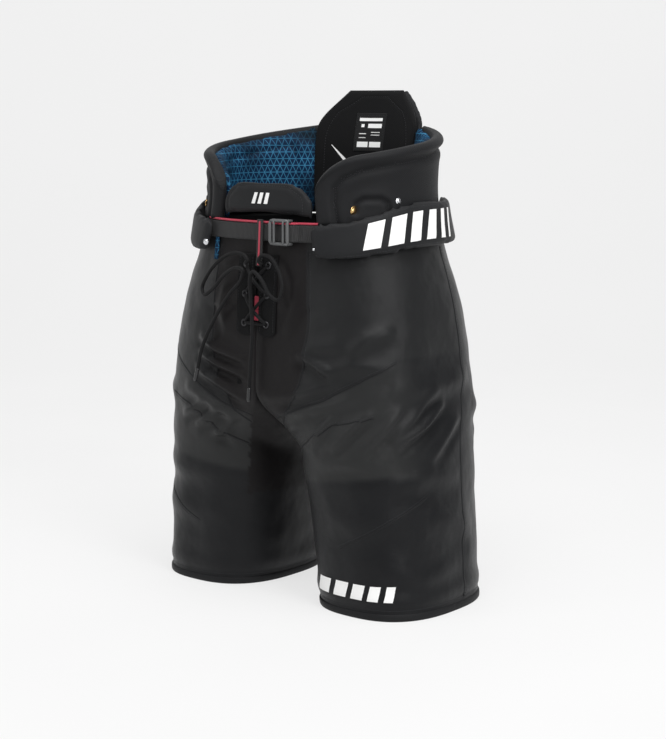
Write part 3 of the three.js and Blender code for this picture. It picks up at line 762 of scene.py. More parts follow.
# %% Folds and seams of the two halves
LEFT_FOLDS = [
    ([(0.02, 0.250), (0.12, 0.262), (0.24, 0.282)], 7, 2.6),
    ([(0.02, 0.232), (0.14, 0.244), (0.27, 0.262)], 6, 2.2),
    ([(0.10, 0.200), (0.16, 0.222), (0.22, 0.246)], 5, 2.4),
    ([(0.17, 0.198), (0.23, 0.222), (0.30, 0.250)], 5, 2.6),
    ([(0.24, 0.196), (0.31, 0.224), (0.37, 0.252)], 5.5, 2.4),
    ([(0.33, 0.206), (0.41, 0.226), (0.50, 0.250)], 6, 4.2),
    ([(0.25, 0.312), (0.30, 0.330), (0.36, 0.342)], 9, 2.8),
    ([(0.12, 0.310), (0.17, 0.300), (0.22, 0.286)], 6, 3.2),
    ([(0.32, 0.214), (0.39, 0.238), (0.47, 0.268)], 6, 2.0),
    ([(0.43, 0.186), (0.49, 0.206), (0.55, 0.232)], 6, 1.8),
    ([(0.03, 0.212), (0.08, 0.222), (0.14, 0.236)], 5, 2.2),
    ([(0.10, 0.180), (0.20, 0.188), (0.30, 0.184)], 8, 1.6),
    ([(0.30, 0.160), (0.42, 0.168), (0.54, 0.160)], 11, 1.6),
    ([(0.10, 0.300), (0.16, 0.318), (0.24, 0.322)], 8, 1.6),
    ([(0.17, 0.288), (0.26, 0.300), (0.36, 0.296)], 9, 1.8),
    ([(0.34, 0.276), (0.46, 0.268), (0.60, 0.280)], 12, 1.8),
    ([(0.10, 0.120), (0.22, 0.112), (0.36, 0.124)], 14, 1.4),
    ([(0.42, 0.120), (0.52, 0.104), (0.60, 0.090)], 12, 1.5),
    ([(0.26, 0.062), (0.38, 0.048), (0.52, 0.056)], 12, 1.4),
    ([(0.62, 0.240), (0.76, 0.226), (0.92, 0.242)], 11, 2.6),
    ([(0.66, 0.208), (0.80, 0.196), (0.94, 0.210)], 10, 2.2),
    ([(0.70, 0.166), (0.82, 0.156), (0.93, 0.168)], 12, 1.6),
    ([(0.08, 0.330), (0.115, 0.360), (0.105, 0.392)], 8, 1.6),
    ([(0.70, 0.300), (0.82, 0.284), (0.96, 0.294)], 12, 1.8),
]
RIGHT_FOLDS = [
    ([(0.19, 0.318), (0.12, 0.304), (0.03, 0.294)], 6, 4.0),
    ([(0.19, 0.300), (0.12, 0.287), (0.03, 0.276)], 6, 4.2),
    ([(0.20, 0.280), (0.11, 0.262), (0.02, 0.244)], 6, 3.2),
    ([(0.24, 0.252), (0.14, 0.240), (0.04, 0.220)], 7, 2.2),
    ([(0.22, 0.216), (0.18, 0.226), (0.15, 0.240)], 5, 2.2),
    ([(0.16, 0.204), (0.13, 0.216), (0.10, 0.232)], 5, 2.4),
    ([(0.10, 0.192), (0.07, 0.206), (0.05, 0.222)], 5, 2.2),
    ([(0.03, 0.186), (0.06, 0.196), (0.10, 0.202)], 5, 1.8),
    ([(0.28, 0.236), (0.38, 0.250), (0.50, 0.246)], 10, 2.0),
    ([(0.08, 0.150), (0.20, 0.146), (0.34, 0.158)], 13, 1.6),
    ([(0.06, 0.100), (0.18, 0.092), (0.32, 0.098)], 14, 1.4),
    ([(0.36, 0.176), (0.50, 0.162), (0.62, 0.172)], 12, 1.6),
    ([(0.60, 0.234), (0.76, 0.222), (0.94, 0.238)], 11, 2.5),
    ([(0.68, 0.200), (0.82, 0.190), (0.95, 0.202)], 10, 2.0),
    ([(0.72, 0.160), (0.84, 0.152), (0.94, 0.162)], 12, 1.5),
    ([(0.09, 0.322), (0.12, 0.356), (0.10, 0.392)], 8, 1.5),
]
FRONT_SEAM = [(0.155, 0.430), (0.150, 0.340), (0.138, 0.300), (0.120, 0.262), (0.060, 0.232), (0.0, 0.214)]
SHELL_SEAMS = {
    "front": FRONT_SEAM,
    "groin_high": [(0.0, 0.224), (0.10, 0.240), (0.18, 0.256), (0.27, 0.280), (0.36, 0.304)],
    "groin_low": [(0.0, 0.184), (0.10, 0.206), (0.20, 0.230), (0.30, 0.240)],
    "side": [(0.575, 0.430), (0.570, 0.300), (0.560, 0.200), (0.545, 0.012)],
    "dart": [(0.145, 0.080), (0.21, 0.095), (0.30, 0.118), (0.415, 0.143)],
    "back": [(0.860, 0.430), (0.850, 0.330), (0.800, 0.240), (0.790, 0.120), (0.800, 0.012)],
}
FOLD_STRENGTH = 1.9
FINE_SEAMS = ("groin_high", "groin_low", "dart")


print("folds:", len(LEFT_FOLDS) + len(RIGHT_FOLDS), "seams on each half:", len(SHELL_SEAMS))

# %% Zones of the shell and the shape of a fold


def zone_marks(shares, heights):
    """Where the shell is stretch cloth, beside the fly, and where it is glossy with a painted highlight:
    across the front of the thigh, and more weakly above the groin.
    """
    seam_s, seam_z = np.array(FRONT_SEAM).T
    edge = np.interp(heights, seam_z[::-1], seam_s[::-1])
    stretch = np.clip(0.5 + (edge - shares) / 0.012, 0, 1) * (heights > 0.214)
    groin = np.interp(shares, *np.array(SHELL_SEAMS["groin_high"]).T)
    knee = np.interp(shares, [0.0, 0.10, 0.31, 0.55], [0.150, 0.158, 0.172, 0.150])
    below, above = 0.5 + (groin - heights) / 0.006, 0.5 + (heights - knee) / 0.006
    between = np.clip(below, 0, 1) * np.clip(above, 0, 1)
    # The glossy mark also carries a painted highlight: the cloth under it is painted lighter, as if lit, on
    # the front of the thigh and, at 0.45, over the hip above the groin.
    satin_and_highlight = between * (1 - smooth(shares, 0.30, 0.46)) * (shares >= 0)
    satin_and_highlight = np.maximum(satin_and_highlight, 0.45 * (1 - stretch) * smooth(heights - groin, 0.0, 0.004) * (shares >= 0))
    return {"stretch_zone": np.where(shares < 0, heights > 0.120, stretch), "satin_zone": satin_and_highlight}


def fold_profile(across, width):
    """Height of a fold at a signed distance across it: a ridge with a valley below."""
    ridge = np.exp(-(across / width) ** 2)
    valley = np.exp(-((across + 1.9 * width) / (1.1 * width)) ** 2)
    return ridge - 0.65 * valley


def raise_folds(points, normals, folds):
    """Moves shell points along their normals by the folds that pass near them."""
    lift = np.zeros(len(points))
    for stops, width, height in folds:
        path = shell_path(stops)
        gap, along = distance_to_path(points, path)
        heights = np.interp(along, np.linspace(0, 1, len(path)), path[:, 2])
        across = gap * np.sign(points[:, 2] - heights + 1e-9)
        ends = np.sin(np.pi * np.clip(along, 0, 1)) ** 0.6
        lift += fold_profile(across, width * MM) * ends * height * FOLD_STRENGTH * MM
    return points + normals * lift[:, None]


def broad_swell(points):
    """Slow unevenness of cloth over foam, in metres."""
    return np.array([noise.noise(Vector(p) * 17) * 0.0018 + noise.noise(Vector(p) * 45) * 0.0006
                     for p in points])


print("fold strength:", FOLD_STRENGTH)

# %% Build one half of the shell


def build_shell(side, folds):
    outer_rows = int((GROIN_HIGH - SHELL_BOTTOM) / SHELL_CELL) + 1
    upper_rows = int((trunk_top - GROIN_HIGH) / SHELL_CELL) + 1
    columns = int(HALF_GIRTH / SHELL_CELL) + 1
    inseam_columns = columns // 2
    shares = np.linspace(0, 1, columns)
    inseam = np.linspace(0, 1, inseam_columns)
    climb = np.linspace(0, 1, outer_rows)
    heights = list(SHELL_BOTTOM + (GROIN_HIGH - SHELL_BOTTOM) * climb)
    heights += list(np.linspace(GROIN_HIGH, trunk_top, upper_rows)[1:])
    outer = [shell_row(shares, z) for z in heights]
    inner = [inseam_row(inseam, share) for share in climb]
    points = np.vstack(outer + inner)
    faces = grid_faces(len(heights), columns)
    faces += grid_faces(outer_rows, inseam_columns, len(heights) * columns)
    slit_low, slit_high = SLIT_LOW, high("left_front_panel").z
    faces = [f for f in faces if not in_slit(points[list(f)].mean(0), slit_low, slit_high)]
    u = np.concatenate([np.tile(shares * HALF_GIRTH, len(heights)),
                        np.tile(inseam * INNER_GIRTH + 0.6, outer_rows)])
    share_of = np.concatenate([np.tile(shares, len(heights)), np.full(inseam_columns * outer_rows, -1.0)])
    uvs = np.stack([u, points[:, 2]], 1)
    marks = zone_marks(share_of, points[:, 2])
    piece = new_piece(SIDE_NAMES[side] + "_shell", points, faces, nylon, uvs, 0.00002, marks)
    if normals_of(piece)[0].dot(points_of(piece)[0] - (0.126, 0, 0)) < 0:
        piece.data.flip_normals()
    start = points_of(piece)
    moved = raise_folds(start, normals_of(piece), folds)
    x, z = start[:, 0], start[:, 2]
    keep = smooth(x, 0.0, 0.012) * smooth(z, 0.012, 0.04) * smooth(-z, -0.45, -0.40)
    roll = 1.8 * MM * np.exp(-((z - 0.026) / 0.010) ** 2) - 1.2 * MM * np.exp(-((z - 0.013) / 0.003) ** 2)
    swollen = moved + normals_of(piece) * broad_swell(start * (side, 1, 1))[:, None]
    move_points(piece, start + (swollen - start) * keep[:, None] + normals_of(piece) * roll[:, None])
    if side == RIGHT:
        move_points(piece, points_of(piece) * (-1, 1, 1))
        piece.data.flip_normals()
    return piece


def in_slit(middle, slit_low, slit_high):
    return middle[0] < 3.6 * MM and middle[1] < 0 and slit_low < middle[2] < slit_high


shells = {LEFT: build_shell(LEFT, LEFT_FOLDS), RIGHT: build_shell(RIGHT, RIGHT_FOLDS)}
skins = {side: skin_of(shell) for side, shell in shells.items()}
print("shell faces:", {SIDE_NAMES[side]: len(shell.data.polygons) for side, shell in shells.items()})

# %% [markdown]
# Each half of the shell, and every strip and stitch that lies on it, has its placement baked into its
# points here; no bend is applied at the groin or the hip.

# %% Baking the shell's placement


def bend_at_groin(piece):
    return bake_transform(piece)


print("groin bend from", round(crotch - 3 * MM, 3), "to", round(crotch - 93 * MM, 3))

# %% [markdown]
# A sewn seam stands a little proud of the cloth. It could be a bump in the finish, but a low rounded
# strip catches light from the side.

# %% Sewn strips


def sweep_strip(path, normals, half_width, height, sides=6):
    """Points and faces of a low rounded strip along a path."""
    path = np.asarray(path)
    along = np.gradient(path, axis=0)
    along /= np.maximum(np.linalg.norm(along, axis=1, keepdims=True), 1e-9)
    across = np.cross(normals, along)
    across /= np.maximum(np.linalg.norm(across, axis=1, keepdims=True), 1e-9)
    ring = []
    for k in range(sides + 1):
        turn = math.pi * k / sides
        ring.append((math.cos(turn), math.sin(turn)))
    ring += [(-0.5, -0.6), (0.5, -0.6)]
    taper = np.minimum(1, np.minimum(np.arange(len(path)), np.arange(len(path))[::-1]) / 1.5 + 0.15)
    points = [path + across * (half_width * a * taper[:, None]) + normals * (height * b) for a, b in ring]
    points = np.stack(points, 1).reshape(-1, 3)
    count = len(ring)
    faces = []
    for j in range(len(path) - 1):
        for k in range(count):
            a, b = j * count + k, j * count + (k + 1) % count
            faces.append((a, b, b + count, a + count))
    faces.append(tuple(range(count)))
    faces.append(tuple((len(path) - 1) * count + k for k in reversed(range(count))))
    return points, faces


def strips_piece(name, strips, material):
    """Joins several strips to one piece. strips holds (path, normals, half width, height)."""
    points, faces, total = [], [], 0
    for path, normals, half_width, height in strips:
        more, more_faces = sweep_strip(path, normals, half_width, height)
        points.append(more)
        faces += [tuple(v + total for v in f) for f in more_faces]
        total += len(more)
    points = np.vstack(points)
    uvs = np.stack([points[:, 0] + points[:, 1], points[:, 2]], 1)
    return new_piece(name, points, faces, material, uvs)


def even_steps(path, spacing):
    """Resamples a path at an even spacing."""
    path = np.asarray(path)
    run = np.concatenate([[0], np.cumsum(np.linalg.norm(np.diff(path, axis=0), axis=1))])
    wanted = np.arange(spacing / 2, run[-1], spacing)
    return np.stack([np.interp(wanted, run, path[:, k]) for k in range(3)], 1)


print("strip helpers ready")

# %% [markdown]
# Stitches repeat thousands of times, so a Geometry Nodes group sets one small thread loop on each
# point of a stitch line, turned along the line and onto the cloth. The result is turned into a plain
# mesh before the piece rides on its body.

# %% Stitch group


def stitch_group():
    group = bpy.data.node_groups.new("stitch_row", "GeometryNodeTree")
    face = group.interface
    face.new_socket("Stitch Points", in_out="INPUT", socket_type="NodeSocketGeometry")
    for label, value in (("Stitch Length", 0.0022), ("Thread Radius", 0.0003), ("Unevenness", 0.12)):
        face.new_socket(label, in_out="INPUT", socket_type="NodeSocketFloat").default_value = value
    face.new_socket("Seed", in_out="INPUT", socket_type="NodeSocketInt").default_value = 3
    face.new_socket("Thread", in_out="INPUT", socket_type="NodeSocketMaterial")
    face.new_socket("Stitches", in_out="OUTPUT", socket_type="NodeSocketGeometry")
    nodes, links = group.nodes, group.links
    given = nodes.new("NodeGroupInput")
    made = nodes.new("NodeGroupOutput")
    loop = nodes.new("GeometryNodeMeshUVSphere")
    loop.inputs["Segments"].default_value = 8
    loop.inputs["Rings"].default_value = 6
    loop.inputs["Radius"].default_value = 1.0
    shape = nodes.new("ShaderNodeCombineXYZ")
    half = nodes.new("ShaderNodeMath")
    half.operation = "MULTIPLY"
    half.inputs[1].default_value = 0.5
    links.new(given.outputs["Stitch Length"], half.inputs[0])
    links.new(half.outputs[0], shape.inputs["X"])
    links.new(given.outputs["Thread Radius"], shape.inputs["Y"])
    links.new(given.outputs["Thread Radius"], shape.inputs["Z"])
    resize = nodes.new("GeometryNodeTransform")
    links.new(loop.outputs["Mesh"], resize.inputs["Geometry"])
    links.new(shape.outputs[0], resize.inputs["Scale"])
    along = nodes.new("GeometryNodeInputNamedAttribute")
    along.data_type = "FLOAT_VECTOR"
    along.inputs["Name"].default_value = "along"
    facing = nodes.new("GeometryNodeInputNamedAttribute")
    facing.data_type = "FLOAT_VECTOR"
    facing.inputs["Name"].default_value = "facing"
    turn = nodes.new("FunctionNodeAxesToRotation")
    turn.primary_axis = "Z"
    turn.secondary_axis = "X"
    links.new(facing.outputs["Attribute"], turn.inputs["Primary Axis"])
    links.new(along.outputs["Attribute"], turn.inputs["Secondary Axis"])
    uneven = nodes.new("FunctionNodeRandomValue")
    spread = nodes.new("ShaderNodeMath")
    spread.operation = "SUBTRACT"
    spread.inputs[0].default_value = 1.0
    links.new(given.outputs["Unevenness"], spread.inputs[1])
    links.new(spread.outputs[0], uneven.inputs[2])
    uneven.inputs[3].default_value = 1.0
    links.new(given.outputs["Seed"], uneven.inputs["Seed"])
    place = nodes.new("GeometryNodeInstanceOnPoints")
    links.new(given.outputs["Stitch Points"], place.inputs["Points"])
    links.new(resize.outputs["Geometry"], place.inputs["Instance"])
    links.new(turn.outputs["Rotation"], place.inputs["Rotation"])
    links.new(uneven.outputs[1], place.inputs["Scale"])
    real = nodes.new("GeometryNodeRealizeInstances")
    links.new(place.outputs["Instances"], real.inputs["Geometry"])
    paint = nodes.new("GeometryNodeSetMaterial")
    links.new(real.outputs["Geometry"], paint.inputs["Geometry"])
    links.new(given.outputs["Thread"], paint.inputs["Material"])
    links.new(paint.outputs["Geometry"], made.inputs["Stitches"])
    return group


stitching = stitch_group()
STITCH_SPACING = 3.4 * MM
print("stitch every", round(STITCH_SPACING * 1000, 1), "mm")

# %% Set stitches along lines


def stitches_piece(name, rows, thread, length=0.0022, radius=0.00032, seed=3):
    """Sets stitches along rows of (path, normals) and returns them as one plain mesh."""
    spots, alongs, facings = [], [], []
    for path, normals in rows:
        even = even_steps(path, STITCH_SPACING)
        if len(even) < 2:
            continue
        run, given = np.linspace(0, 1, len(even)), np.linspace(0, 1, len(path))
        facing = np.stack([np.interp(run, given, normals[:, k]) for k in range(3)], 1)
        spots.append(even)
        alongs.append(np.gradient(even, axis=0))
        facings.append(facing)
    spots, alongs, facings = np.vstack(spots), np.vstack(alongs), np.vstack(facings)
    mesh = bpy.data.meshes.new(name)
    mesh.from_pydata([tuple(p) for p in spots], [], [])
    for label, values in (("along", alongs), ("facing", facings)):
        values = values / np.maximum(np.linalg.norm(values, axis=1, keepdims=True), 1e-9)
        mesh.attributes.new(label, "FLOAT_VECTOR", "POINT").data.foreach_set("vector", values.ravel())
    piece = bpy.data.objects.new(name, mesh)
    bpy.context.scene.collection.objects.link(piece)
    sewing = piece.modifiers.new("sewing", "NODES")
    sewing.node_group = stitching
    values = {"Stitch Length": length, "Thread Radius": radius, "Seed": seed, "Thread": thread}
    for item in stitching.interface.items_tree:
        if item.in_out == "INPUT" and item.name in values:
            sewing[item.identifier] = values[item.name]
    apply_modifiers(piece)
    piece.data.shade_smooth()
    return piece


def on_shell(side, path, lift):
    """Lays a path, given for the left half, on one half's shell."""
    return lay_on(skins[side], np.asarray(path) * (side, 1, 1), lift)


def offset_path(path, normals, by):
    """The same path moved sideways on the cloth."""
    along = np.gradient(path, axis=0)
    across = np.cross(normals, along)
    across /= np.maximum(np.linalg.norm(across, axis=1, keepdims=True), 1e-9)
    return path + across * by


print("stitch helpers ready")

# %% Shell seams and hem stitching
thread = cloth_finish("thread", (0.020, 0.020, 0.022), (0.032, 0.033, 0.036), 0.0004, (0.4, 0.55),
                      depth=0.00003)
STITCH_LIFT = 0.0001
SEAM_TO_STITCH = 3.2 * MM
HEM_STITCH_HEIGHT = 13 * MM


def shell_trim(side):
    word = SIDE_NAMES[side]
    strips, rows = [], []
    for seam, stops in SHELL_SEAMS.items():
        path, normals = on_shell(side, shell_path(stops, 90), 0.0)
        half_width = 1.0 * MM if seam in FINE_SEAMS else 1.6 * MM
        strips.append((path, normals, half_width, 0.4 * MM))
        rows.append(lay_on(skins[side], offset_path(path, normals, SEAM_TO_STITCH), STITCH_LIFT))
    share_up = (HEM_STITCH_HEIGHT - SHELL_BOTTOM) / (GROIN_HIGH - SHELL_BOTTOM)
    loop = [shell_row(np.array([s]), HEM_STITCH_HEIGHT)[0] for s in np.linspace(0, 1, 160)]
    loop += [inseam_row(np.array([q]), share_up)[0] for q in np.linspace(0.02, 1, 60)]
    rows.append(on_shell(side, loop, STITCH_LIFT))
    seams = strips_piece(word + "_shell_seams", strips, hem_nylon)
    sewing = stitches_piece(word + "_shell_stitches", rows, thread)
    for piece in (seams, sewing):
        bend_at_groin(piece)


for side in (LEFT, RIGHT):
    shell_trim(side)
print("shell trim sewn on")

for side in (LEFT, RIGHT):
    word = SIDE_NAMES[side]
    cloth = shells[side]
    girth, height = HALF_GIRTH + INNER_GIRTH, trunk_top - SHELL_BOTTOM
    thick = cloth.modifiers.new("cloth_thickness", "SOLIDIFY")
    thick.thickness = SHELL_THICK
    thick.offset = -1
    apply_modifiers(cloth)
    bend_at_groin(cloth)
    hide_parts(*[word + "_" + n for n in (
        "hip_shell", "front_panel", "thigh_front", "thigh_outer", "thigh_back", "thigh_inner")])
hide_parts("seat_panel", "waist_yoke", "crotch_gusset")

# %% [markdown]
# ## Hems
# Each hem is the same cloth turned over and stitched, a soft thick edge on which the garment stands. A
# curve with a bevel could make it, but a ring of sections on the thigh's own outline keeps its width
# and its slight waves under control.

# %% Hems


def hem_piece(side):
    columns, sides = 150, 12
    height, outer, inner = hem_top, -1.4 * MM, 3.2 * MM
    angles = arc_angles(leg_point, 0.0, 0, 360, np.linspace(0, 1, columns, endpoint=False))
    rings = []
    for k in range(sides):
        turn = 2 * math.pi * k / sides
        c, s = math.cos(turn), math.sin(turn)
        up = height / 2 * (1 + math.copysign(abs(s) ** 0.5, s))
        depth = (outer + inner) / 2 - (inner - outer) / 2 * math.copysign(abs(c) ** 0.6, c)
        wave = 0.35 * MM * np.sin(np.radians(angles) * 7 + side) * (up / height)
        rings.append(leg_point(angles, np.full(columns, up), depth + wave))
    points = np.stack(rings, 1).reshape(-1, 3) * (side, 1, 1)
    faces = []
    for j in range(columns):
        for k in range(sides):
            a, b = j * sides + k, j * sides + (k + 1) % sides
            after = ((j + 1) % columns - j) * sides
            faces.append((a, b, b + after, a + after))
    uvs = np.stack([np.repeat(np.arange(columns) * 0.57 / columns, sides), points[:, 2]], 1)
    piece = new_piece(SIDE_NAMES[side] + "_hem_band", points, faces, hem_nylon, uvs)
    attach(piece, SIDE_NAMES[side] + "_leg")
    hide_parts(SIDE_NAMES[side] + "_hem")


for side in (LEFT, RIGHT):
    hem_piece(side)
print("hem bands up to", round(hem_top, 3))

# %% [markdown]
# ## Outer hip guards
# A padded band lies over each hip, from beside the fly to the back, and covers the belt's ends. A box
# bent round the hip would have flat faces. A closed pad laid on the hip's own outline, blown up like a
# cushion and pressed in along its two seams, looks stuffed and sewn.

# %% Hip guards
guard_front = trunk_angle(74 * MM, waist)
guard_back = 50.0
GUARD_INNER = -4.8 * MM
GUARD_OUTER = -13.0 * MM


def guard_low(angle):
    return waist - 15 * MM + 12 * MM * smooth(angle, guard_front, 0)


def guard_high(angle):
    return guard_low(angle) + 44 * MM + 14 * MM * smooth(angle, guard_front, 0)


def rounded_edges(s, t, corner):
    """Shrinks the rows near both ends, so that the pad's corners are round."""
    near = np.minimum(s, 1 - s) / corner
    inset = 1 - np.sqrt(np.clip(1 - (1 - np.clip(near, 0, 1)) ** 2, 0, 1))
    return 0.5 + (t - 0.5) * (1 - 0.55 * inset)


def guard_place(s, t, depth):
    angle = mix(guard_front, guard_back, s)
    share = rounded_edges(s, t, 0.07)
    return trunk_point(angle, mix(guard_low(angle), guard_high(angle), share), depth)


def pad_line(place, shares_s, shares_t, depth, count=90):
    """A line across a pad's face through stops given as shares of its width and height."""
    run = np.linspace(0, 1, len(shares_s))
    fine = np.linspace(0, 1, count)
    return place(np.interp(fine, run, shares_s), np.interp(fine, run, shares_t), depth)


hip_guard = pad_piece("left_hip_guard_pad", guard_place, 120, 26, GUARD_OUTER, GUARD_INNER, guard_nylon,
                      (40, 5))
hip_guard = puff(hip_guard, 3.0 * MM)
guard_seams = [
    pad_line(guard_place, [0.02, 0.98], [0.90, 0.90], GUARD_OUTER),
    pad_line(guard_place, [0.02, 0.98], [0.12, 0.12], GUARD_OUTER),
]
for line in guard_seams:
    press_channel(hip_guard, line, 1.4 * MM, 0.5 * MM)
guard_twin = mirror_copy(hip_guard, "right_hip_guard_pad")
guards = {LEFT: hip_guard, RIGHT: guard_twin}
guard_skins = {side: skin_of(piece) for side, piece in guards.items()}
print("hip guard points:", len(hip_guard.data.vertices))

# %% [markdown]
# The guards carry a plain slanted bar print. A print is a thin patch laid on the swollen skin, so it
# follows every dent of the pad.

# %% Prints laid on a pad


def print_patch(name, tree, corners, material, lift=0.00035, cells=(14, 18)):
    """A thin print: four corners on a body, filled, and laid on the skin."""
    a, b, c, d = [np.asarray(p, float) for p in corners]
    points = []
    for t in np.linspace(0, 1, cells[1]):
        for s in np.linspace(0, 1, cells[0]):
            points.append(mix(mix(a, b, s), mix(d, c, s), t))
    laid, _ = lay_on(tree, points, lift)
    uvs = np.stack([laid[:, 0] + laid[:, 1], laid[:, 2]], 1)
    return new_piece(name, laid, grid_faces(cells[1], cells[0]), material, uvs)


def join_pieces(name, pieces):
    """Joins pieces to one object."""
    with bpy.context.temp_override(active_object=pieces[0], selected_editable_objects=pieces):
        bpy.ops.object.join()
    pieces[0].name = name
    pieces[0].data.name = name
    return pieces[0]


HEM_BARS = [(0.045, 0.050), (0.113, 0.042), (0.171, 0.036), (0.222, 0.030), (0.268, 0.024)]


HEM_BAR_LOW, HEM_BAR_HIGH, HEM_BAR_SLANT = 0.0235, 0.0415, 0.012


def bar_stops(start, width, bottom, top, slant):
    """The four corners of a slanted bar, as shares across and up."""
    return [(start, bottom), (start + width, bottom), (start + width + slant, top), (start + slant, top)]


def hem_print():
    """A row of slanted bars near the left hem, at the front."""
    bars = []
    for start, width in HEM_BARS:
        stops = bar_stops(start, width, HEM_BAR_LOW, HEM_BAR_HIGH, HEM_BAR_SLANT)
        corners = [shell_row(np.array([share]), height, -3 * MM)[0] for share, height in stops]
        bars.append(print_patch("bar", skins[LEFT], corners, print_white, lift=0.0006))
    piece = join_pieces("left_hem_print", bars)
    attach(piece, "left_leg")


hem_print()
print("bars on the left hem:", len(HEM_BARS))

# %% Guard print, stitches and bodies
GUARD_BARS = [(0.215, 0.080), (0.330, 0.080), (0.445, 0.060), (0.540, 0.045), (0.620, 0.030), (0.684, 0.018)]


def guard_print(side):
    bars = []
    for start, width in GUARD_BARS:
        stops = bar_stops(start, width, 0.22, 0.80, 0.035)
        corners = [guard_place(s, t, GUARD_OUTER - 2 * MM) * (side, 1, 1) for s, t in stops]
        bars.append(print_patch("bar", guard_skins[side], corners, print_white))
    piece = join_pieces(SIDE_NAMES[side] + "_guard_print", bars)
    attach(piece, "trunk")


for side in (LEFT, RIGHT):
    word = SIDE_NAMES[side]
    guard_print(side)
    rows = [lay_on(guard_skins[side], line * (side, 1, 1), STITCH_LIFT) for line in guard_seams]
    sewing = stitches_piece(word + "_guard_stitches", rows, thread)
    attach(sewing, "trunk")
    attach(guards[side], "trunk")
    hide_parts(word + "_hip_guard")
print("bars on each guard:", len(GUARD_BARS))

# %% [markdown]
# ## Kidney wings
# Each wing is a padded skirt that climbs from the front corner to the back. Outside it is knit, and
# inside it has a printed blue lining with one sewn channel that follows its rim. A flat shape with a
# thickness would do for the outline, but two pads on the trunk's own section keep the real gap for the
# hard plate between them.

# %% Wing outline
wing_bottom = low("left_kidney_pad").z
wing_front = trunk_angle(77 * MM, wing_bottom)
wing_back = 59.0
wing_back_height = high("left_kidney_pad").z
WING_OUTER = -3.0 * MM
WING_MIDDLE = 8.6 * MM
WING_INNER = 17.6 * MM


def wing_rim(angle):
    share = (angle - wing_front) / (wing_back - wing_front)
    corner = np.clip(1 - share / 0.2, 0, 1)
    rounding = 1 - np.sqrt(np.clip(1 - corner ** 2, 0, 1))
    return waist + mix(100 * MM, wing_back_height - waist, share) - 38 * MM * rounding


def wing_place(s, t, depth, trim=0.0):
    """A point on the wing: s from front to back, t from foot to rim."""
    angle = mix(wing_front, wing_back, s)
    ease = mix(t, t ** 0.85, np.clip(1 - 6 * s, 0, 1))
    return trunk_point(angle, mix(wing_bottom, wing_rim(angle) - trim, ease), depth)


def lining_place(s, t, depth):
    return wing_place(s, t, depth, 1.5 * MM)


wing_rim_line = pad_line(wing_place, [0.085, 0.080, 0.085, 0.115, 0.20, 0.4, 0.7, 0.985],
                         [0.03, 0.35, 0.58, 0.70, 0.77, 0.81, 0.84, 0.86], WING_OUTER, 200)
channel_s = [0.10, 0.095, 0.12, 0.20, 0.45, 0.70, 0.86, 0.885, 0.88]
channel_t = [0.10, 0.45, 0.66, 0.74, 0.78, 0.80, 0.81, 0.60, 0.10]
wing_channel = pad_line(lining_place, channel_s, channel_t, WING_INNER, 200)
print("wing front angle", round(float(wing_front), 1), "rim at back", round(float(wing_rim(wing_back)), 3))

# %% Wing pads and linings


def wing_outer_depth(s, t):
    """The outer face, with a rolled rim standing a little proud."""
    rim = 2.2 * MM * np.exp(-((t - 0.93) / 0.055) ** 2)
    front = 1.6 * MM * np.exp(-((s - 0.03) / 0.03) ** 2)
    return WING_OUTER - rim - front


def wing_inner_depth(s, t):
    return WING_INNER + 1.5 * MM * np.sin(np.pi * s) * np.sin(np.pi * t)


wing_pad = pad_piece("left_wing_pad", wing_place, 150, 60, wing_outer_depth, WING_MIDDLE, pad_knit, (44, 26))
press_channel(wing_pad, wing_rim_line, 3.4 * MM, 3.2 * MM)
slot_arch = [(-42, 0.474), (-41, 0.484), (-37, 0.4885), (-27, 0.4885), (-23, 0.484), (-22, 0.474)]
wing_slot = np.array([trunk_point(a, z, WING_OUTER) for a, z in slot_arch])
press_channel(wing_pad, wing_slot, 2.6 * MM, 3.4 * MM)
wing_lining = pad_piece("left_wing_lining", lining_place, 150, 60, WING_MIDDLE + 0.4 * MM, wing_inner_depth,
                        blue_lining, (30, 18))
wing_lining = puff(wing_lining, 2.4 * MM)
press_channel(wing_lining, wing_channel, 3.2 * MM, 3.0 * MM)
print("wing pad points:", len(wing_pad.data.vertices), "lining points:", len(wing_lining.data.vertices))

# %% Both wings on the trunk
for side in (LEFT, RIGHT):
    word = SIDE_NAMES[side]
    pad = wing_pad if side == LEFT else mirror_copy(wing_pad, "right_wing_pad")
    lining = wing_lining if side == LEFT else mirror_copy(wing_lining, "right_wing_lining")
    pad_skin, lining_skin = skin_of(pad), skin_of(lining)
    rows = [lay_on(pad_skin, wing_rim_line * (side, 1, 1), STITCH_LIFT)]
    inner_rows = [lay_on(lining_skin, wing_channel * (side, 1, 1), STITCH_LIFT)]
    sewing = stitches_piece(word + "_wing_stitches", rows, thread)
    inner_sewing = stitches_piece(word + "_lining_stitches", inner_rows, thread)
    for piece in (pad, lining, sewing, inner_sewing):
        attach(piece, "trunk")
    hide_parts(word + "_kidney_pad")
    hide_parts(word + "_kidney_lining")
print("wings ride on the trunk")

# %% [markdown]
# ## Spine pad
# The tall pad behind the back narrows to round shoulders. Its inner face is brushed knit with a plain
# label near the top and a white tapered stripe beside it. It turns with its own body, so nothing of it
# is joined to the wings.

# %% Spine pad outline
spine_low = low("spine_pad").z
SPINE_HALF, SPINE_TOP_HALF, SPINE_SHOULDER = 80 * MM, 44 * MM, 50 * MM
SPINE_OUTER, SPINE_MIDDLE, SPINE_INNER = -1.0 * MM, 9.4 * MM, 18.4 * MM


def spine_place(s, t, depth, inset=0.0):
    height = mix(spine_low + inset, spine_top - inset, t)
    share = np.clip((spine_top - inset - height) / SPINE_SHOULDER, 0, 1)
    half = mix(SPINE_TOP_HALF, SPINE_HALF, np.sin(share * np.pi / 2) ** 1.15) - inset
    return face_point(half * (1 - 2 * s), height, depth, back=True)


def spine_lining_place(s, t, depth):
    return spine_place(s, t, depth, 1.5 * MM)


print("spine pad from", round(spine_low, 3), "to", round(spine_top, 3))

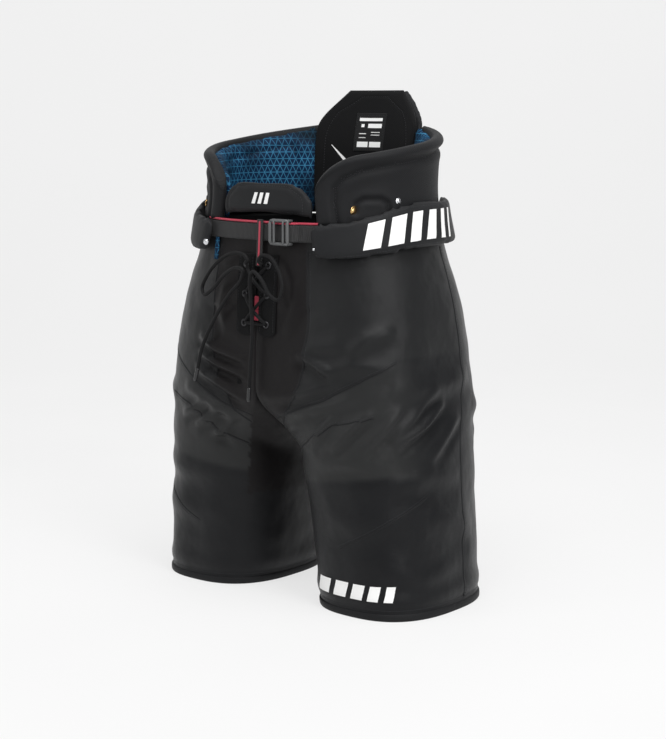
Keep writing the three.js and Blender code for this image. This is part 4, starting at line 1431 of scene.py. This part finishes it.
# %% Spine pad and its lining
spine_pad = pad_piece("spine_pad_shell", spine_place, 70, 70, SPINE_OUTER, SPINE_MIDDLE, pad_knit,
                      (22, 22), "flat")
spine_pad = puff(spine_pad, 2.4 * MM, kind="flat")
spine_frame = pad_line(spine_place, [0.10, 0.10, 0.14, 0.30, 0.70, 0.86, 0.90, 0.90],
                       [0.04, 0.60, 0.80, 0.93, 0.93, 0.80, 0.60, 0.04], SPINE_OUTER, 220)
press_channel(spine_pad, spine_frame, 2.4 * MM, 1.8 * MM)
for share in (0.30, 0.50, 0.70):
    line = pad_line(spine_place, [share, share], [0.05, 0.86 if share == 0.5 else 0.80], SPINE_OUTER)
    press_channel(spine_pad, line, 3.0 * MM, 1.6 * MM)
spine_lining = pad_piece("spine_inner_pad", spine_lining_place, 90, 90, SPINE_MIDDLE + 0.4 * MM, SPINE_INNER,
                         spine_knit, (24, 24), "flat")
inner_frame = pad_line(spine_lining_place, [0.09, 0.09, 0.13, 0.30, 0.70, 0.87, 0.91, 0.91],
                       [0.04, 0.60, 0.82, 0.945, 0.945, 0.82, 0.60, 0.04], SPINE_INNER, 220)
press_channel(spine_lining, inner_frame, 1.2 * MM, 0.4 * MM)
spine_pad_skin, spine_lining_skin = skin_of(spine_pad), skin_of(spine_lining)

print("spine pad points:", len(spine_pad.data.vertices))

# %% Spine stitches and size label
outer_sewing = stitches_piece("spine_stitches", [lay_on(spine_pad_skin, spine_frame, STITCH_LIFT)], thread)
inner_row = lay_on(spine_lining_skin, inner_frame, STITCH_LIFT)
inner_sewing = stitches_piece("spine_lining_stitches", [inner_row], thread)
label_low, label_high = low("size_label"), high("size_label")


def label_place(s, t, depth):
    x = mix(label_high.x, label_low.x, s)
    return face_point(x, mix(label_low.z, label_high.z, t), SPINE_INNER + depth, back=True)


label = pad_piece("size_label_patch", label_place, 40, 40, -0.4 * MM, 0.7 * MM, label_satin, (60, 60), "flat")
label_skin = skin_of(label)
label_edge = pad_line(label_place, [0.06, 0.94, 0.94, 0.06, 0.06], [0.06, 0.06, 0.94, 0.94, 0.06],
                      1 * MM, 160)
label_row = lay_on(label_skin, label_edge, STITCH_LIFT)
label_sewing = stitches_piece("label_stitches", [label_row], thread, 0.0018, 0.0002)


LABEL_BLOCKS = [(0.12, 0.88, 0.80, 0.88), (0.20, 0.30, 0.64, 0.72), (0.42, 0.88, 0.62, 0.73),
                (0.16, 0.38, 0.46, 0.48), (0.54, 0.84, 0.50, 0.515), (0.54, 0.84, 0.43, 0.445),
                (0.16, 0.38, 0.36, 0.375), (0.12, 0.47, 0.12, 0.26), (0.52, 0.90, 0.12, 0.26)]


def label_block(left, right, bottom, top):
    """A plain white block on the label, given as shares of its width and height."""
    corners = [label_place(1 - s, t, 2 * MM)
               for s, t in ((left, bottom), (right, bottom), (right, top), (left, top))]
    return print_patch("block", label_skin, corners, print_white, 0.0002, (8, 4))


label_print = join_pieces("label_print", [label_block(*block) for block in LABEL_BLOCKS])
stripe_stops = [(-55, 545), (-54.4, 545.4), (-13, 510), (-19, 506)]
stripe_corners = [face_point(x * MM, z * MM, SPINE_INNER + 2 * MM, back=True) for x, z in stripe_stops]
spine_stripe = print_patch("spine_stripe", spine_lining_skin, stripe_corners, print_white, cells=(4, 40))
print("blocks on the label:", len(LABEL_BLOCKS))

# %% Spine pieces on the spine flap
for piece, slot in ((spine_pad, "nylon"), (spine_lining, "spine_lining"), (outer_sewing, "nylon"),
                    (inner_sewing, "spine_lining"), (label, "label_cloth"), (label_sewing, "label_cloth"),
                    (label_print, "label_cloth"), (spine_stripe, "spine_lining")):
    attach(piece, "spine_flap")
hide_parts("spine_pad")
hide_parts("spine_lining")
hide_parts("size_label")
print("spine pieces ride on the spine flap")

# %% [markdown]
# ## Belly pad
# A small stiff pad stands up from the front of the waist, with a slightly arched foot. It is made as the
# guards are, flat to the front face, and it turns with the belly flap.

# %% Belly pad
belly_low = low("belly_pad").z
BELLY_HALF, BELLY_TOP_HALF, BELLY_HEIGHT = 70 * MM, 48 * MM, 43 * MM


def belly_place(s, t, depth):
    half = mix(BELLY_TOP_HALF, BELLY_HALF, np.sin(np.clip((1 - t) * 1.6, 0, 1) * np.pi / 2))
    x = mix(-half, half, s)
    arch = 2 * MM * (1 - (x / BELLY_HALF) ** 2)
    round_top = 4 * MM * np.abs(2 * s - 1) ** 4
    height = mix(belly_low + arch, belly_low + BELLY_HEIGHT - round_top, t)
    return face_point(x, height, depth)


belly_pad = pad_piece("belly_pad_shell", belly_place, 56, 30, 1 * MM, 10 * MM, guard_nylon, (16, 8), "flat")
belly_pad = puff(belly_pad, 2.6 * MM, kind="flat")
belly_seam = pad_line(belly_place, [0.08, 0.08, 0.14, 0.5, 0.86, 0.92, 0.92, 0.5, 0.08],
                      [0.12, 0.60, 0.86, 0.88, 0.86, 0.60, 0.12, 0.12, 0.12], 0.5 * MM, 160)
press_channel(belly_pad, belly_seam, 1.8 * MM, 1.2 * MM)
belly_skin = skin_of(belly_pad)
belly_sewing = stitches_piece("belly_stitches", [lay_on(belly_skin, belly_seam, STITCH_LIFT)], thread)
belly_bars = []
for start in (0.40, 0.47, 0.54):
    stops = bar_stops(start, 0.04, 0.34, 0.66, 0.03)
    corners = [belly_place(s, t, -2 * MM) for s, t in stops]
    belly_bars.append(print_patch("bar", belly_skin, corners, print_white, cells=(6, 12)))
belly_print = join_pieces("belly_print", belly_bars)
for piece in (belly_pad, belly_sewing, belly_print):
    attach(piece, "belly_flap")
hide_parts("belly_pad")
print("belly pad from", round(belly_low, 3), "to", round(belly_low + BELLY_HEIGHT, 3))

# %% [markdown]
# ## Belt, buckle and pull tab
# The belt is one webbing with a thin red piping along its top edge. A curve with a flat section would
# twist where the waist turns, so both are pads on the front face, which keeps them upright. The belt
# rises over the buckle's middle bar.

# %% Belt and its piping
belt_low, belt_high = low("belt_strap").z, high("belt_strap").z
piping_low, piping_high = low("belt_piping").z, high("belt_piping").z
belt_half = high("belt_strap").x
buckle_low, buckle_high = low("belt_buckle"), high("belt_buckle")
buckle_centre = (buckle_low.x + buckle_high.x) / 2
BELT_FACE, BELT_THICK = -3.2 * MM, 2 * MM
BUMP_HEIGHT, BUMP_PLATEAU, BUMP_RAMP = 6.8 * MM, 10.5 * MM, 9 * MM


def belt_lift(x):
    away = np.abs(x - buckle_centre)
    return BUMP_HEIGHT * (1 - smooth(away, BUMP_PLATEAU, BUMP_PLATEAU + BUMP_RAMP))


def strip_place(bottom, top, reach=1.0):
    def place(s, t, depth):
        x = mix(-belt_half, belt_half * reach, s)
        return face_point(x, mix(bottom, top, t), depth - belt_lift(x))
    return place


belt_place = strip_place(belt_low, belt_high)
belt = pad_piece("belt_webbing_strap", belt_place, 160, 14, BELT_FACE, BELT_FACE + BELT_THICK, belt_webbing,
                 (200, 18), "flat")
piping_place = strip_place(piping_low, piping_high, 0.80)
piping = pad_piece("belt_red_piping", piping_place, 160, 10, BELT_FACE - 0.3 * MM, BELT_FACE + BELT_THICK,
                   red_tape, (200, 2.5), "flat")


def side_tab_place(s, t, depth):
    return face_point(mix(-78, -70, s) * MM, mix(0.411, 0.438, t), depth)


side_tab = pad_piece("right_side_tab", side_tab_place, 14, 30, -3.4 * MM, -1.4 * MM, blue_lining,
                     (10, 30), "flat")
for piece, node, slot in ((belt, "belt_strap", "webbing"), (piping, "belt_piping", "red_tape"),
                          (side_tab, None, "blue_lining")):
    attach(piece, "trunk")
    if node:
        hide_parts(node)
print("belt from", round(belt_low, 3), "to", round(belt_high, 3))

# %% [markdown]
# The buckle is one moulded frame with two ribs in front and a bar behind, which the belt passes over. A
# box with holes cut in it would have sharp edges, so every bar is a rounded section swept along a path.

# %% Slide buckle


def rounded_loop(half_width, half_height, corner, steps=8):
    """A closed rounded rectangle in the XZ plane."""
    loop = []
    for k, (cx, cz) in enumerate(((1, 1), (-1, 1), (-1, -1), (1, -1))):
        for j in range(steps + 1):
            turn = math.pi / 2 * (k + j / steps)
            loop.append((cx * (half_width - corner) + corner * math.cos(turn),
                         cz * (half_height - corner) + corner * math.sin(turn)))
    return loop


def bar_mesh(path, half_a, half_b, closed, sides=12, power=0.7):
    """Sweeps a rounded section along a path in the XZ plane; half_b is the size along Y."""
    path = [Vector(p) for p in path]
    points, faces = [], []
    count = len(path)
    for j, here in enumerate(path):
        before = path[j - 1] if (closed or j) else here
        after = path[(j + 1) % count] if (closed or j < count - 1) else here
        along = (after - before).normalized()
        across = along.cross(Vector((0, 1, 0))).normalized()
        for k in range(sides):
            turn = 2 * math.pi * k / sides
            c, s = math.cos(turn), math.sin(turn)
            a = math.copysign(abs(c) ** power, c) * half_a
            b = math.copysign(abs(s) ** power, s) * half_b
            points.append(here + across * a + Vector((0, 1, 0)) * b)
    for j in range(count if closed else count - 1):
        for k in range(sides):
            a, b = j * sides + k, j * sides + (k + 1) % sides
            over = ((j + 1) % count - j) * sides
            faces.append((a, b, b + over, a + over))
    if not closed:
        faces.append(tuple(range(sides)))
        faces.append(tuple((count - 1) * sides + k for k in reversed(range(sides))))
    return points, faces


def buckle_piece():
    half_width = (buckle_high.x - buckle_low.x) / 2
    half_height = (buckle_high.z - buckle_low.z) / 2
    centre_z = (buckle_high.z + buckle_low.z) / 2
    front, back = buckle_low.y, buckle_high.y
    bar = 1.8 * MM
    loop = rounded_loop(half_width - bar, half_height - bar, 3.2 * MM)
    bow = (back - front) * 0.42
    frame_path = [(buckle_centre + x, front + 1.6 * MM + bow * (abs(z) / half_height) ** 6, centre_z + z)
                  for x, z in loop]
    points, faces = bar_mesh(frame_path, 2.0 * MM, 1.5 * MM, True)
    pieces = [new_piece("frame", points, faces, buckle_plastic)]
    for share in (-0.36, 0.36):
        x = buckle_centre + share * half_width * 1.3
        path = [(x, front + 1.7 * MM, centre_z + z * (half_height - bar)) for z in np.linspace(-1, 1, 9)]
        points, faces = bar_mesh(path, 1.3 * MM, 1.2 * MM, False)
        pieces.append(new_piece("rib", points, faces, buckle_plastic))
    path = [(buckle_centre, back - 1.2 * MM, centre_z + z * (half_height - bar))
            for z in np.linspace(-1, 1, 9)]
    points, faces = bar_mesh(path, 1.5 * MM, 1.1 * MM, False)
    pieces.append(new_piece("bar", points, faces, buckle_plastic))
    for end in (-1, 1):
        rail = [(buckle_centre + x, (front + back) / 2 + 0.4 * MM, centre_z + end * (half_height - bar))
                for x in np.linspace(-half_width + 2 * MM, half_width - 2 * MM, 9)]
        points, faces = bar_mesh(rail, 1.5 * MM, (back - front) / 2 - 0.4 * MM, False)
        pieces.append(new_piece("rail", points, faces, buckle_plastic))
    return join_pieces("slide_buckle", pieces)


buckle = buckle_piece()
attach(buckle, "buckle")
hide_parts("belt_buckle")
print("buckle width in mm:", round((buckle_high.x - buckle_low.x) * 1000, 1))

# %% [markdown]
# A short webbing tab comes down over the belt to the fly. Its red stripe is a second thin band on it,
# because it is woven in and stands a little proud.

# %% Pull tab over the belt
tab_low, tab_high = low("fly_tab"), high("fly_tab")


def tab_place(s, t, depth):
    x = mix(tab_low.x, tab_high.x, s)
    return face_point(x, mix(tab_low.z - 8 * MM, tab_high.z + 4 * MM, t), -5.6 * MM + depth)


tab = pad_piece("pull_tab_webbing", tab_place, 14, 50, -1 * MM, 1 * MM, belt_webbing, (16, 120), "flat")


def tab_stripe_place(s, t, depth):
    return tab_place(0.34 + 0.32 * s, 0.02 + 0.94 * t, depth)


tab_stripe = pad_piece("pull_tab_stripe", tab_stripe_place, 8, 50, -1.5 * MM, -0.8 * MM, red_tape,
                       (10, 120), "flat")
for piece, slot in ((tab, "webbing"), (tab_stripe, "red_tape")):
    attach(piece, "trunk")
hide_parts("fly_tab")
print("tab from", round(tab_low.z, 3), "to", round(tab_high.z, 3))

# %% [markdown]
# ## Fly: tongue, plackets, eyelets and lace
# A dark tongue lies behind the slit, and a knit placket with three eyelets lies on each side of it. The
# eyelets are turned from one profile, as metal rings are, and set on the placket's own skin.

# %% Fly
front_top = high("left_front_panel").z
placket_low, placket_high = low("left_fly_placket"), high("left_fly_placket")
PLACKET_DEPTH = (-3.0 * MM, -0.4 * MM)


def placket_place(side):
    def place(s, t, depth):
        x = mix(placket_low.x, placket_high.x, s)
        foot = placket_low.z + 6 * MM * (2 * s - 1) ** 2
        return face_point(side * x, mix(foot, placket_high.z, t), depth)
    return place


def tongue_place(s, t, depth):
    x = mix(-34 * MM, 34 * MM, s)
    return face_point(x, mix(trunk_rim + 12 * MM, front_top, t), depth)


def tongue_stripe_place(s, t, depth):
    return face_point(mix(-4.4 * MM, 4.4 * MM, s), mix(SLIT_LOW + 1 * MM, SLIT_LOW + 30 * MM, t), depth)


tongue = pad_piece("fly_tongue_cloth", tongue_place, 40, 80, 2.6 * MM, 5.2 * MM, spine_knit, (60, 60), "flat")
stripe = pad_piece("fly_tongue_stripe", tongue_stripe_place, 16, 40, -0.9 * MM, 1.6 * MM, red_tape,
                   (8, 60), "flat")
for piece, slot in ((tongue, "stretch_nylon"), (stripe, "red_tape")):
    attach(piece, "trunk")
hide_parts("fly_tongue")
print("slit from", round(SLIT_LOW, 3), "to", round(front_top, 3))

# %% Turned rings and rivets


def lathe_piece(name, profile, centre, outward, material, steps=28):
    """Turns a profile of (radius, height) about the outward direction at centre."""
    outward = Vector(outward).normalized()
    side_dir = outward.orthogonal().normalized()
    other = outward.cross(side_dir)
    points, faces = [], []
    count = len(profile)
    for j in range(steps):
        turn = 2 * math.pi * j / steps
        radial = side_dir * math.cos(turn) + other * math.sin(turn)
        points += [Vector(centre) + radial * r + outward * h for r, h in profile]
    for j in range(steps):
        after = ((j + 1) % steps - j) * count
        for k in range(count - 1):
            a = j * count + k
            faces.append((a, a + 1, a + 1 + after, a + after))
    return new_piece(name, points, faces, material, merge=0.000005)


def eyelet_profile(hole, flange, height):
    return [(hole, -1.5 * MM), (hole, height * 0.5), (hole + 0.5 * MM, height),
            ((hole + flange) / 2, height * 1.05), (flange - 0.5 * MM, height * 0.8),
            (flange, height * 0.2), (flange - 0.2 * MM, 0), (hole, -1.5 * MM)]


def rivet_profile(radius, dome):
    return [(0, dome), (radius * 0.35, dome * 0.95), (radius * 0.62, dome * 0.72),
            (radius * 0.70, dome * 0.42), (radius * 0.80, dome * 0.38), (radius * 0.97, dome * 0.30),
            (radius, dome * 0.1), (radius * 0.9, -0.4 * MM), (0, -0.4 * MM)]


def skin_spot(tree, point):
    place, normal = lay_on(tree, [point], 0.0)
    return place[0], normal[0]


print("profiles ready: eyelet and rivet")

# %% Plackets and eyelets
for side in (LEFT, RIGHT):
    word = SIDE_NAMES[side]
    place = placket_place(side)
    placket = pad_piece(word + "_placket_cloth", place, 30, 90, PLACKET_DEPTH[0], PLACKET_DEPTH[1],
                        spine_knit, (24, 60), "flat")
    skin = skin_of(placket)
    lines = [pad_line(place, [0.12, 0.12], [0.03, 0.98], PLACKET_DEPTH[0]),
             pad_line(place, [0.90, 0.90], [0.03, 0.98], PLACKET_DEPTH[0])]
    for line in lines:
        press_channel(placket, line, 1.2 * MM, 0.5 * MM)
    sewing = stitches_piece(word + "_placket_stitches", [lay_on(skin, line, 0.0) for line in lines], thread)
    for piece in (placket, sewing):
        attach(piece, "trunk")
    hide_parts(word + "_fly_placket")
    for k in (1, 2, 3):
        node = word + "_eyelet_" + str(k)
        middle = (low(node) + high(node)) / 2
        spot, outward = skin_spot(skin, (middle.x, low(node).y - 0.004, middle.z))
        profile = eyelet_profile(2.4 * MM, 4.6 * MM, 1.1 * MM)
        eyelet = lathe_piece(node + "_ring", profile, spot, outward, dark_metal)
        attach(eyelet, "trunk")
        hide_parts(node)
print("plackets and eyelets set")

# %% [markdown]
# ## Lace
# The lace is threaded through the two top eyelets and tied in a bow. Each half is one cord: a loop of
# the bow and then the free end, which hangs down the front with a hard tip. A simulated lace would lie
# differently each time, so the route is a list of chosen stops with one smooth curve through them.

# %% Lace routes
LACE_ROUTES = {
    RIGHT: [
        [-13, 9, 411], [-9, 11, 414], [-13, 12, 420], [-30, 13, 422], [-55, 13, 412], [-76, 12, 394],
        [-86, 12, 377], [-80, 13, 369], [-62, 14, 378], [-40, 17, 396], [-18, 20, 406], [-8, 20, 404],
        [-12, 17, 392], [-34, 14, 372], [-60, 12, 340], [-80, 12, 305], [-88, 12, 278]],
    LEFT: [
        [13, 9, 411], [9, 11, 414], [13, 12, 421], [28, 13, 420], [42, 13, 404], [48, 13, 385],
        [44, 14, 372], [34, 16, 376], [22, 19, 394], [9, 20, 403], [4, 19, 395], [3, 15, 370],
        [5, 13, 330], [3, 13, 295], [1, 13, 264]],
}
LACE_RADIUS = 2.2 * MM
AGLET_LENGTH, AGLET_RADIUS = 17 * MM, 2.4 * MM
KNOT_DROP = 13 * MM
KNOT_HEIGHT = 411 * MM
print("stops of the lace halves:", [len(route) for route in LACE_ROUTES.values()])

# %% Curve and tube of a lace


def catmull_rom(points, per_span=14):
    """A centripetal curve through points."""
    points = [Vector(p) for p in points]
    ends = [points[0] * 2 - points[1], *points, points[-1] * 2 - points[-2]]
    line = []
    for a, b, c, d in zip(ends, ends[1:], ends[2:], ends[3:]):
        t0 = 0.0
        t1 = t0 + math.sqrt((b - a).length)
        t2 = t1 + math.sqrt((c - b).length)
        t3 = t2 + math.sqrt((d - c).length)
        for k in range(per_span):
            t = t1 + (t2 - t1) * k / per_span
            ab = a * ((t1 - t) / (t1 - t0)) + b * ((t - t0) / (t1 - t0))
            bc = b * ((t2 - t) / (t2 - t1)) + c * ((t - t1) / (t2 - t1))
            cd = c * ((t3 - t) / (t3 - t2)) + d * ((t - t2) / (t3 - t2))
            abc = ab * ((t2 - t) / (t2 - t0)) + bc * ((t - t0) / (t2 - t0))
            bcd = bc * ((t3 - t) / (t3 - t1)) + cd * ((t - t1) / (t3 - t1))
            line.append(abc * ((t2 - t) / (t2 - t1)) + bcd * ((t - t1) / (t2 - t1)))
    return line + [points[-1]]


def tube_mesh(line, radius, sides=14, swell=None):
    """A closed tube along a line; swell changes its radius from start to end."""
    points, faces = [], []
    along = (line[1] - line[0]).normalized()
    across = along.cross(Vector((0, 1, 0))).normalized()
    for j, here in enumerate(line):
        after = line[min(j + 1, len(line) - 1)]
        before = line[max(j - 1, 0)]
        turn_to = (after - before).normalized()
        across = (across - turn_to * across.dot(turn_to)).normalized()
        other = turn_to.cross(across)
        size = radius * (swell(j / (len(line) - 1)) if swell else 1.0)
        for k in range(sides):
            turn = 2 * math.pi * k / sides
            points.append(here + across * (math.cos(turn) * size) + other * (math.sin(turn) * size))
    for j in range(len(line) - 1):
        for k in range(sides):
            a, b = j * sides + k, j * sides + (k + 1) % sides
            faces.append((a, b, b + sides, a + sides))
    faces.append(tuple(range(sides)))
    faces.append(tuple((len(line) - 1) * sides + k for k in reversed(range(sides))))
    return points, faces


def lace_uvs(line, sides):
    run = np.concatenate([[0], np.cumsum([(b - a).length for a, b in zip(line, line[1:])])])
    u = np.tile(np.arange(sides) / sides * 2 * math.pi * LACE_RADIUS, len(line))
    return np.stack([u, np.repeat(run, sides)], 1)


print("lace diameter in mm:", round(2 * LACE_RADIUS * 1000, 1))

# %% The two halves of the lace
for side, route in LACE_ROUTES.items():
    word = SIDE_NAMES[side]
    stops = []
    for x, ahead, height in route:
        point = face_point(x * MM, height * MM + front_top - KNOT_DROP - KNOT_HEIGHT)
        stops.append((point[0], point[1] - ahead * MM, point[2]))
    line = catmull_rom(stops)
    points, faces = tube_mesh(line, LACE_RADIUS)
    lace = new_piece(word + "_lace_cord", points, faces, lace_braid, lace_uvs(line, 14))
    tip_dir = (line[-1] - line[-2]).normalized()
    tip_line = [line[-1] + tip_dir * (AGLET_LENGTH * k / 10 - 0.5 * MM) for k in range(11)]
    points, faces = tube_mesh(tip_line, AGLET_RADIUS, 16, lambda t: 1 - 0.35 * max(0, t - 0.85) / 0.15)
    aglet = new_piece(word + "_lace_tip", points, faces, aglet_plastic)
    length = sum((b - a).length for a, b in zip(line, line[1:]))
    for piece, node, slot in ((lace, "lace", "lace_cloth"), (aglet, "aglet", "aglet_plastic")):
        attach(piece, "trunk")
        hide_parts(word + "_" + node)
    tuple(stops[0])
    [tuple(p) for p in line]
    print(word, "lace length", round(length, 3))

# %% [markdown]
# The lace also crosses the slit between the eyelets. Each crossing is a short arc that dives into an
# eyelet at both ends, and the second of each pair passes over the first.

# %% Lace crossings
eyelet_x = (low("left_eyelet_1").x + high("left_eyelet_1").x) / 2
eyelet_z = sorted((low("left_eyelet_%d" % k).z + high("left_eyelet_%d" % k).z) / 2 for k in (1, 2, 3))


def crossing(name, z_from, z_to, side, crown):
    """A short lace arc from one eyelet across the slit to another."""
    stops = []
    for share in (0, 0.12, 0.3, 0.5, 0.7, 0.88, 1):
        x = side * eyelet_x * (2 * share - 1)
        ahead = crown * math.sin(math.pi * share) ** 0.8 - 1.6 * MM * (share in (0, 1))
        point = face_point(x, mix(z_from, z_to, share), -2.2 * MM)
        stops.append((point[0], point[1] - ahead, point[2]))
    line = catmull_rom(stops, 10)
    points, faces = tube_mesh(line, LACE_RADIUS * 0.9, 12)
    piece = new_piece(name, points, faces, lace_braid, lace_uvs(line, 12))
    length = sum((b - a).length for a, b in zip(line, line[1:]))
    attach(piece, "trunk")
    [tuple(p) for p in line]
    print(name, "length", round(length, 3))


crossing("lace_crossing_bottom", eyelet_z[0], eyelet_z[0], LEFT, 2.6 * MM)
for k in (0, 1):
    crossing("lace_crossing_under_%d" % k, eyelet_z[k], eyelet_z[k + 1], LEFT, 2.8 * MM)
    crossing("lace_crossing_over_%d" % k, eyelet_z[k], eyelet_z[k + 1], RIGHT, 7.0 * MM)

# %% [markdown]
# ## Pads inside the shell
# Foam cushions hang inside the thighs and hips and behind the tailbone. They are quilted, and they
# show from below and through the waist. Real quilting is a grid of sewn lines, so it is pressed into
# the pad's mesh as the seams are, and isn't only a bump in the finish.

# %% Inner pads
HIP_PAD = (-56, 44, crotch + 70 * MM, waist - 8 * MM)
THIGH_PAD = (-112, 60, hem_top + 28 * MM, crotch - 26 * MM)
FOAM_FACE = 8.6 * MM
HIP_FOAM, THIGH_FOAM = 7 * MM, 7.4 * MM
TAIL_FACE, TAIL_BACK = 4.6 * MM, 15 * MM


def hip_pad_place(s, t, depth):
    return trunk_point(mix(HIP_PAD[0], HIP_PAD[1], s), mix(HIP_PAD[2], HIP_PAD[3], t), depth)


def thigh_pad_place(s, t, depth):
    return leg_point(mix(THIGH_PAD[0], THIGH_PAD[1], s), mix(THIGH_PAD[2], THIGH_PAD[3], t), depth)


def tailbone_place(s, t, depth):
    half = mix(30 * MM, 52 * MM, t)
    return face_point(half * (1 - 2 * s), mix(crotch + 70 * MM, waist + 6 * MM, t), depth, back=True)


def quilt(pad, place, depth, columns, rows):
    for k in range(1, columns):
        press_channel(pad, pad_line(place, [k / columns] * 2, [0.04, 0.96], depth), 2.6 * MM, 1.6 * MM)
    for k in range(1, rows):
        press_channel(pad, pad_line(place, [0.03, 0.97], [k / rows] * 2, depth), 2.6 * MM, 1.6 * MM)


hip_cushion = pad_piece("left_hip_cushion", hip_pad_place, 110, 60, FOAM_FACE, FOAM_FACE + HIP_FOAM,
                        foam_cover, (30, 24))
quilt(hip_cushion, hip_pad_place, FOAM_FACE + HIP_FOAM, 6, 3)
thigh_cushion = pad_piece("left_thigh_cushion", thigh_pad_place, 130, 60, FOAM_FACE, FOAM_FACE + THIGH_FOAM,
                          foam_cover, (30, 24))
quilt(thigh_cushion, thigh_pad_place, FOAM_FACE + THIGH_FOAM, 7, 3)
tail_cushion = pad_piece("tailbone_cushion", tailbone_place, 50, 70, TAIL_FACE, TAIL_BACK, foam_cover,
                         (14, 18), "flat")
quilt(tail_cushion, tailbone_place, TAIL_BACK, 2, 3)
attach(tail_cushion, "trunk")
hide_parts("tailbone_pad")
for pad, node, body in ((hip_cushion, "hip_foam", "trunk"), (thigh_cushion, "thigh_foam", "leg")):
    for side in (LEFT, RIGHT):
        word = SIDE_NAMES[side]
        piece = pad if side == LEFT else mirror_copy(pad, "right_" + pad.name[5:])
        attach(piece, "trunk" if body == "trunk" else word + "_leg")
        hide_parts(word + "_" + node)
print("inner pads in place")

# %% [markdown]
# ## Rivets
# Brass and steel rivets hold the wings and the guards to the trunk. Each is turned from one stepped
# profile and set on the skin below it, so its rim lies on the cloth wherever the pad has swollen.

# %% Rivets
wing_skin = skin_of(wing_pad)


def add_rivet(name, tree, point, side, radius, material, replaced=None):
    spot, outward = skin_spot(tree, np.asarray(point) * (side, 1, 1))
    rivet = lathe_piece(name, rivet_profile(radius, 2.0 * MM), spot, outward, material)
    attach(rivet, "trunk")
    if replaced:
        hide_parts(replaced)


for side in (LEFT, RIGHT):
    word = SIDE_NAMES[side]
    skin = wing_skin if side == LEFT else skin_of(bpy.data.objects["right_wing_pad"])
    node_low, node_high = low("left_wing_rivet"), high("left_wing_rivet")
    middle = (node_low + node_high) / 2
    add_rivet(word + "_wing_rivet_head", skin, middle, side, 6 * MM, brass_metal,
              word + "_wing_rivet")
    steel_spot = trunk_point(wing_front + 46, guard_high(wing_front + 46) + 3 * MM, -3 * MM)
    add_rivet(word + "_steel_rivet", skin, steel_spot, side, 3.8 * MM, steel_metal)
    guard_spot = guard_place(0.018, 0.3, GUARD_OUTER)
    add_rivet(word + "_guard_rivet", guard_skins[side], guard_spot, side, (1.8 if side == LEFT else 3.6) * MM,
              steel_metal)
print("rivets on each side: 3")

# %% [markdown]
# ## Plates that stay as they are in the frame
# The hard plates already have their real shape, so they keep their solids and take a plastic finish.

# %% Finishes on the plates
shown_plates = [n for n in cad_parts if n.endswith("_plate")]
for name in shown_plates:
    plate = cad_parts[name]
    plate.data.materials.clear()
    plate.data.materials.append(plate_plastic)
print("plates:", sorted(shown_plates))

# %% [markdown]
# ## Floor and light
# A pale floor that runs up into the background, a broad soft light from above and the front, and a
# weaker one from the side. The floor also glows a little, so it stays nearly white although the lights
# are kept weak enough for black cloth to show its folds.

# %% Floor
FLOOR_GLOW, ROOM_GLOW = 0.70, 0.30
floor_paint = Finish("floor_paint", roughness=0.9, specular=0.1)
floor_paint.colour(floor_paint.ramp(floor_paint.noise(floor_paint.place("Object"), 3, 2),
                                    [(0.0, (0.19, 0.19, 0.19)), (1.0, (0.21, 0.21, 0.21))]))
floor_paint.shader.inputs["Emission Color"].default_value = (1, 1, 1, 1)
floor_paint.shader.inputs["Emission Strength"].default_value = FLOOR_GLOW
SWEEP_RADIUS, FLOOR_HALF, FLOOR_BACK = 0.8, 4.0, 1.6


def floor_points():
    rows = [(-3.0, 0.0), (0.0, 0.0), (FLOOR_BACK, 0.0)]
    for k in range(1, 13):
        turn = math.pi / 2 * k / 12
        rows.append((FLOOR_BACK + SWEEP_RADIUS * math.sin(turn), SWEEP_RADIUS * (1 - math.cos(turn))))
    rows.append((FLOOR_BACK + SWEEP_RADIUS, 4.0))
    forward = Vector((-math.sin(VIEW_AZIMUTH), math.cos(VIEW_AZIMUTH), 0))
    return [forward * d + sideways * x + Vector((0, 0, z))
            for d, z in rows for x in (-FLOOR_HALF, FLOOR_HALF)]


points = floor_points()
floor = new_piece("studio_floor", points, grid_faces(len(points) // 2, 2), floor_paint.material)
print("floor glow", FLOOR_GLOW)

# %% World and lights
world = bpy.data.worlds.new("soft_room")
bpy.context.scene.world = world
world.use_nodes = True
world.node_tree.nodes["Background"].inputs["Color"].default_value = (1, 1, 1, 1)
world.node_tree.nodes["Background"].inputs["Strength"].default_value = ROOM_GLOW


def soft_light(name, place, size, power):
    light = bpy.data.lights.new(name, "AREA")
    light.shape = "RECTANGLE"
    light.size, light.size_y = size
    light.energy = power
    holder = bpy.data.objects.new(name, light)
    bpy.context.scene.collection.objects.link(holder)
    holder.location = place
    holder.rotation_euler = (Vector((0, 0, 0.3)) - Vector(place)).to_track_quat("-Z", "Y").to_euler()


soft_light("top_light", (0.5, -0.5, 2.3), (1.6, 1.6), 42)
soft_light("front_light", (2.2, -0.7, 1.3), (0.9, 1.6), 26)
soft_light("side_light", (-1.2, -2.2, 1.2), (0.8, 1.4), 9)
bpy.context.scene.view_settings.view_transform = "Standard"
print("lights:", len(bpy.data.lights))
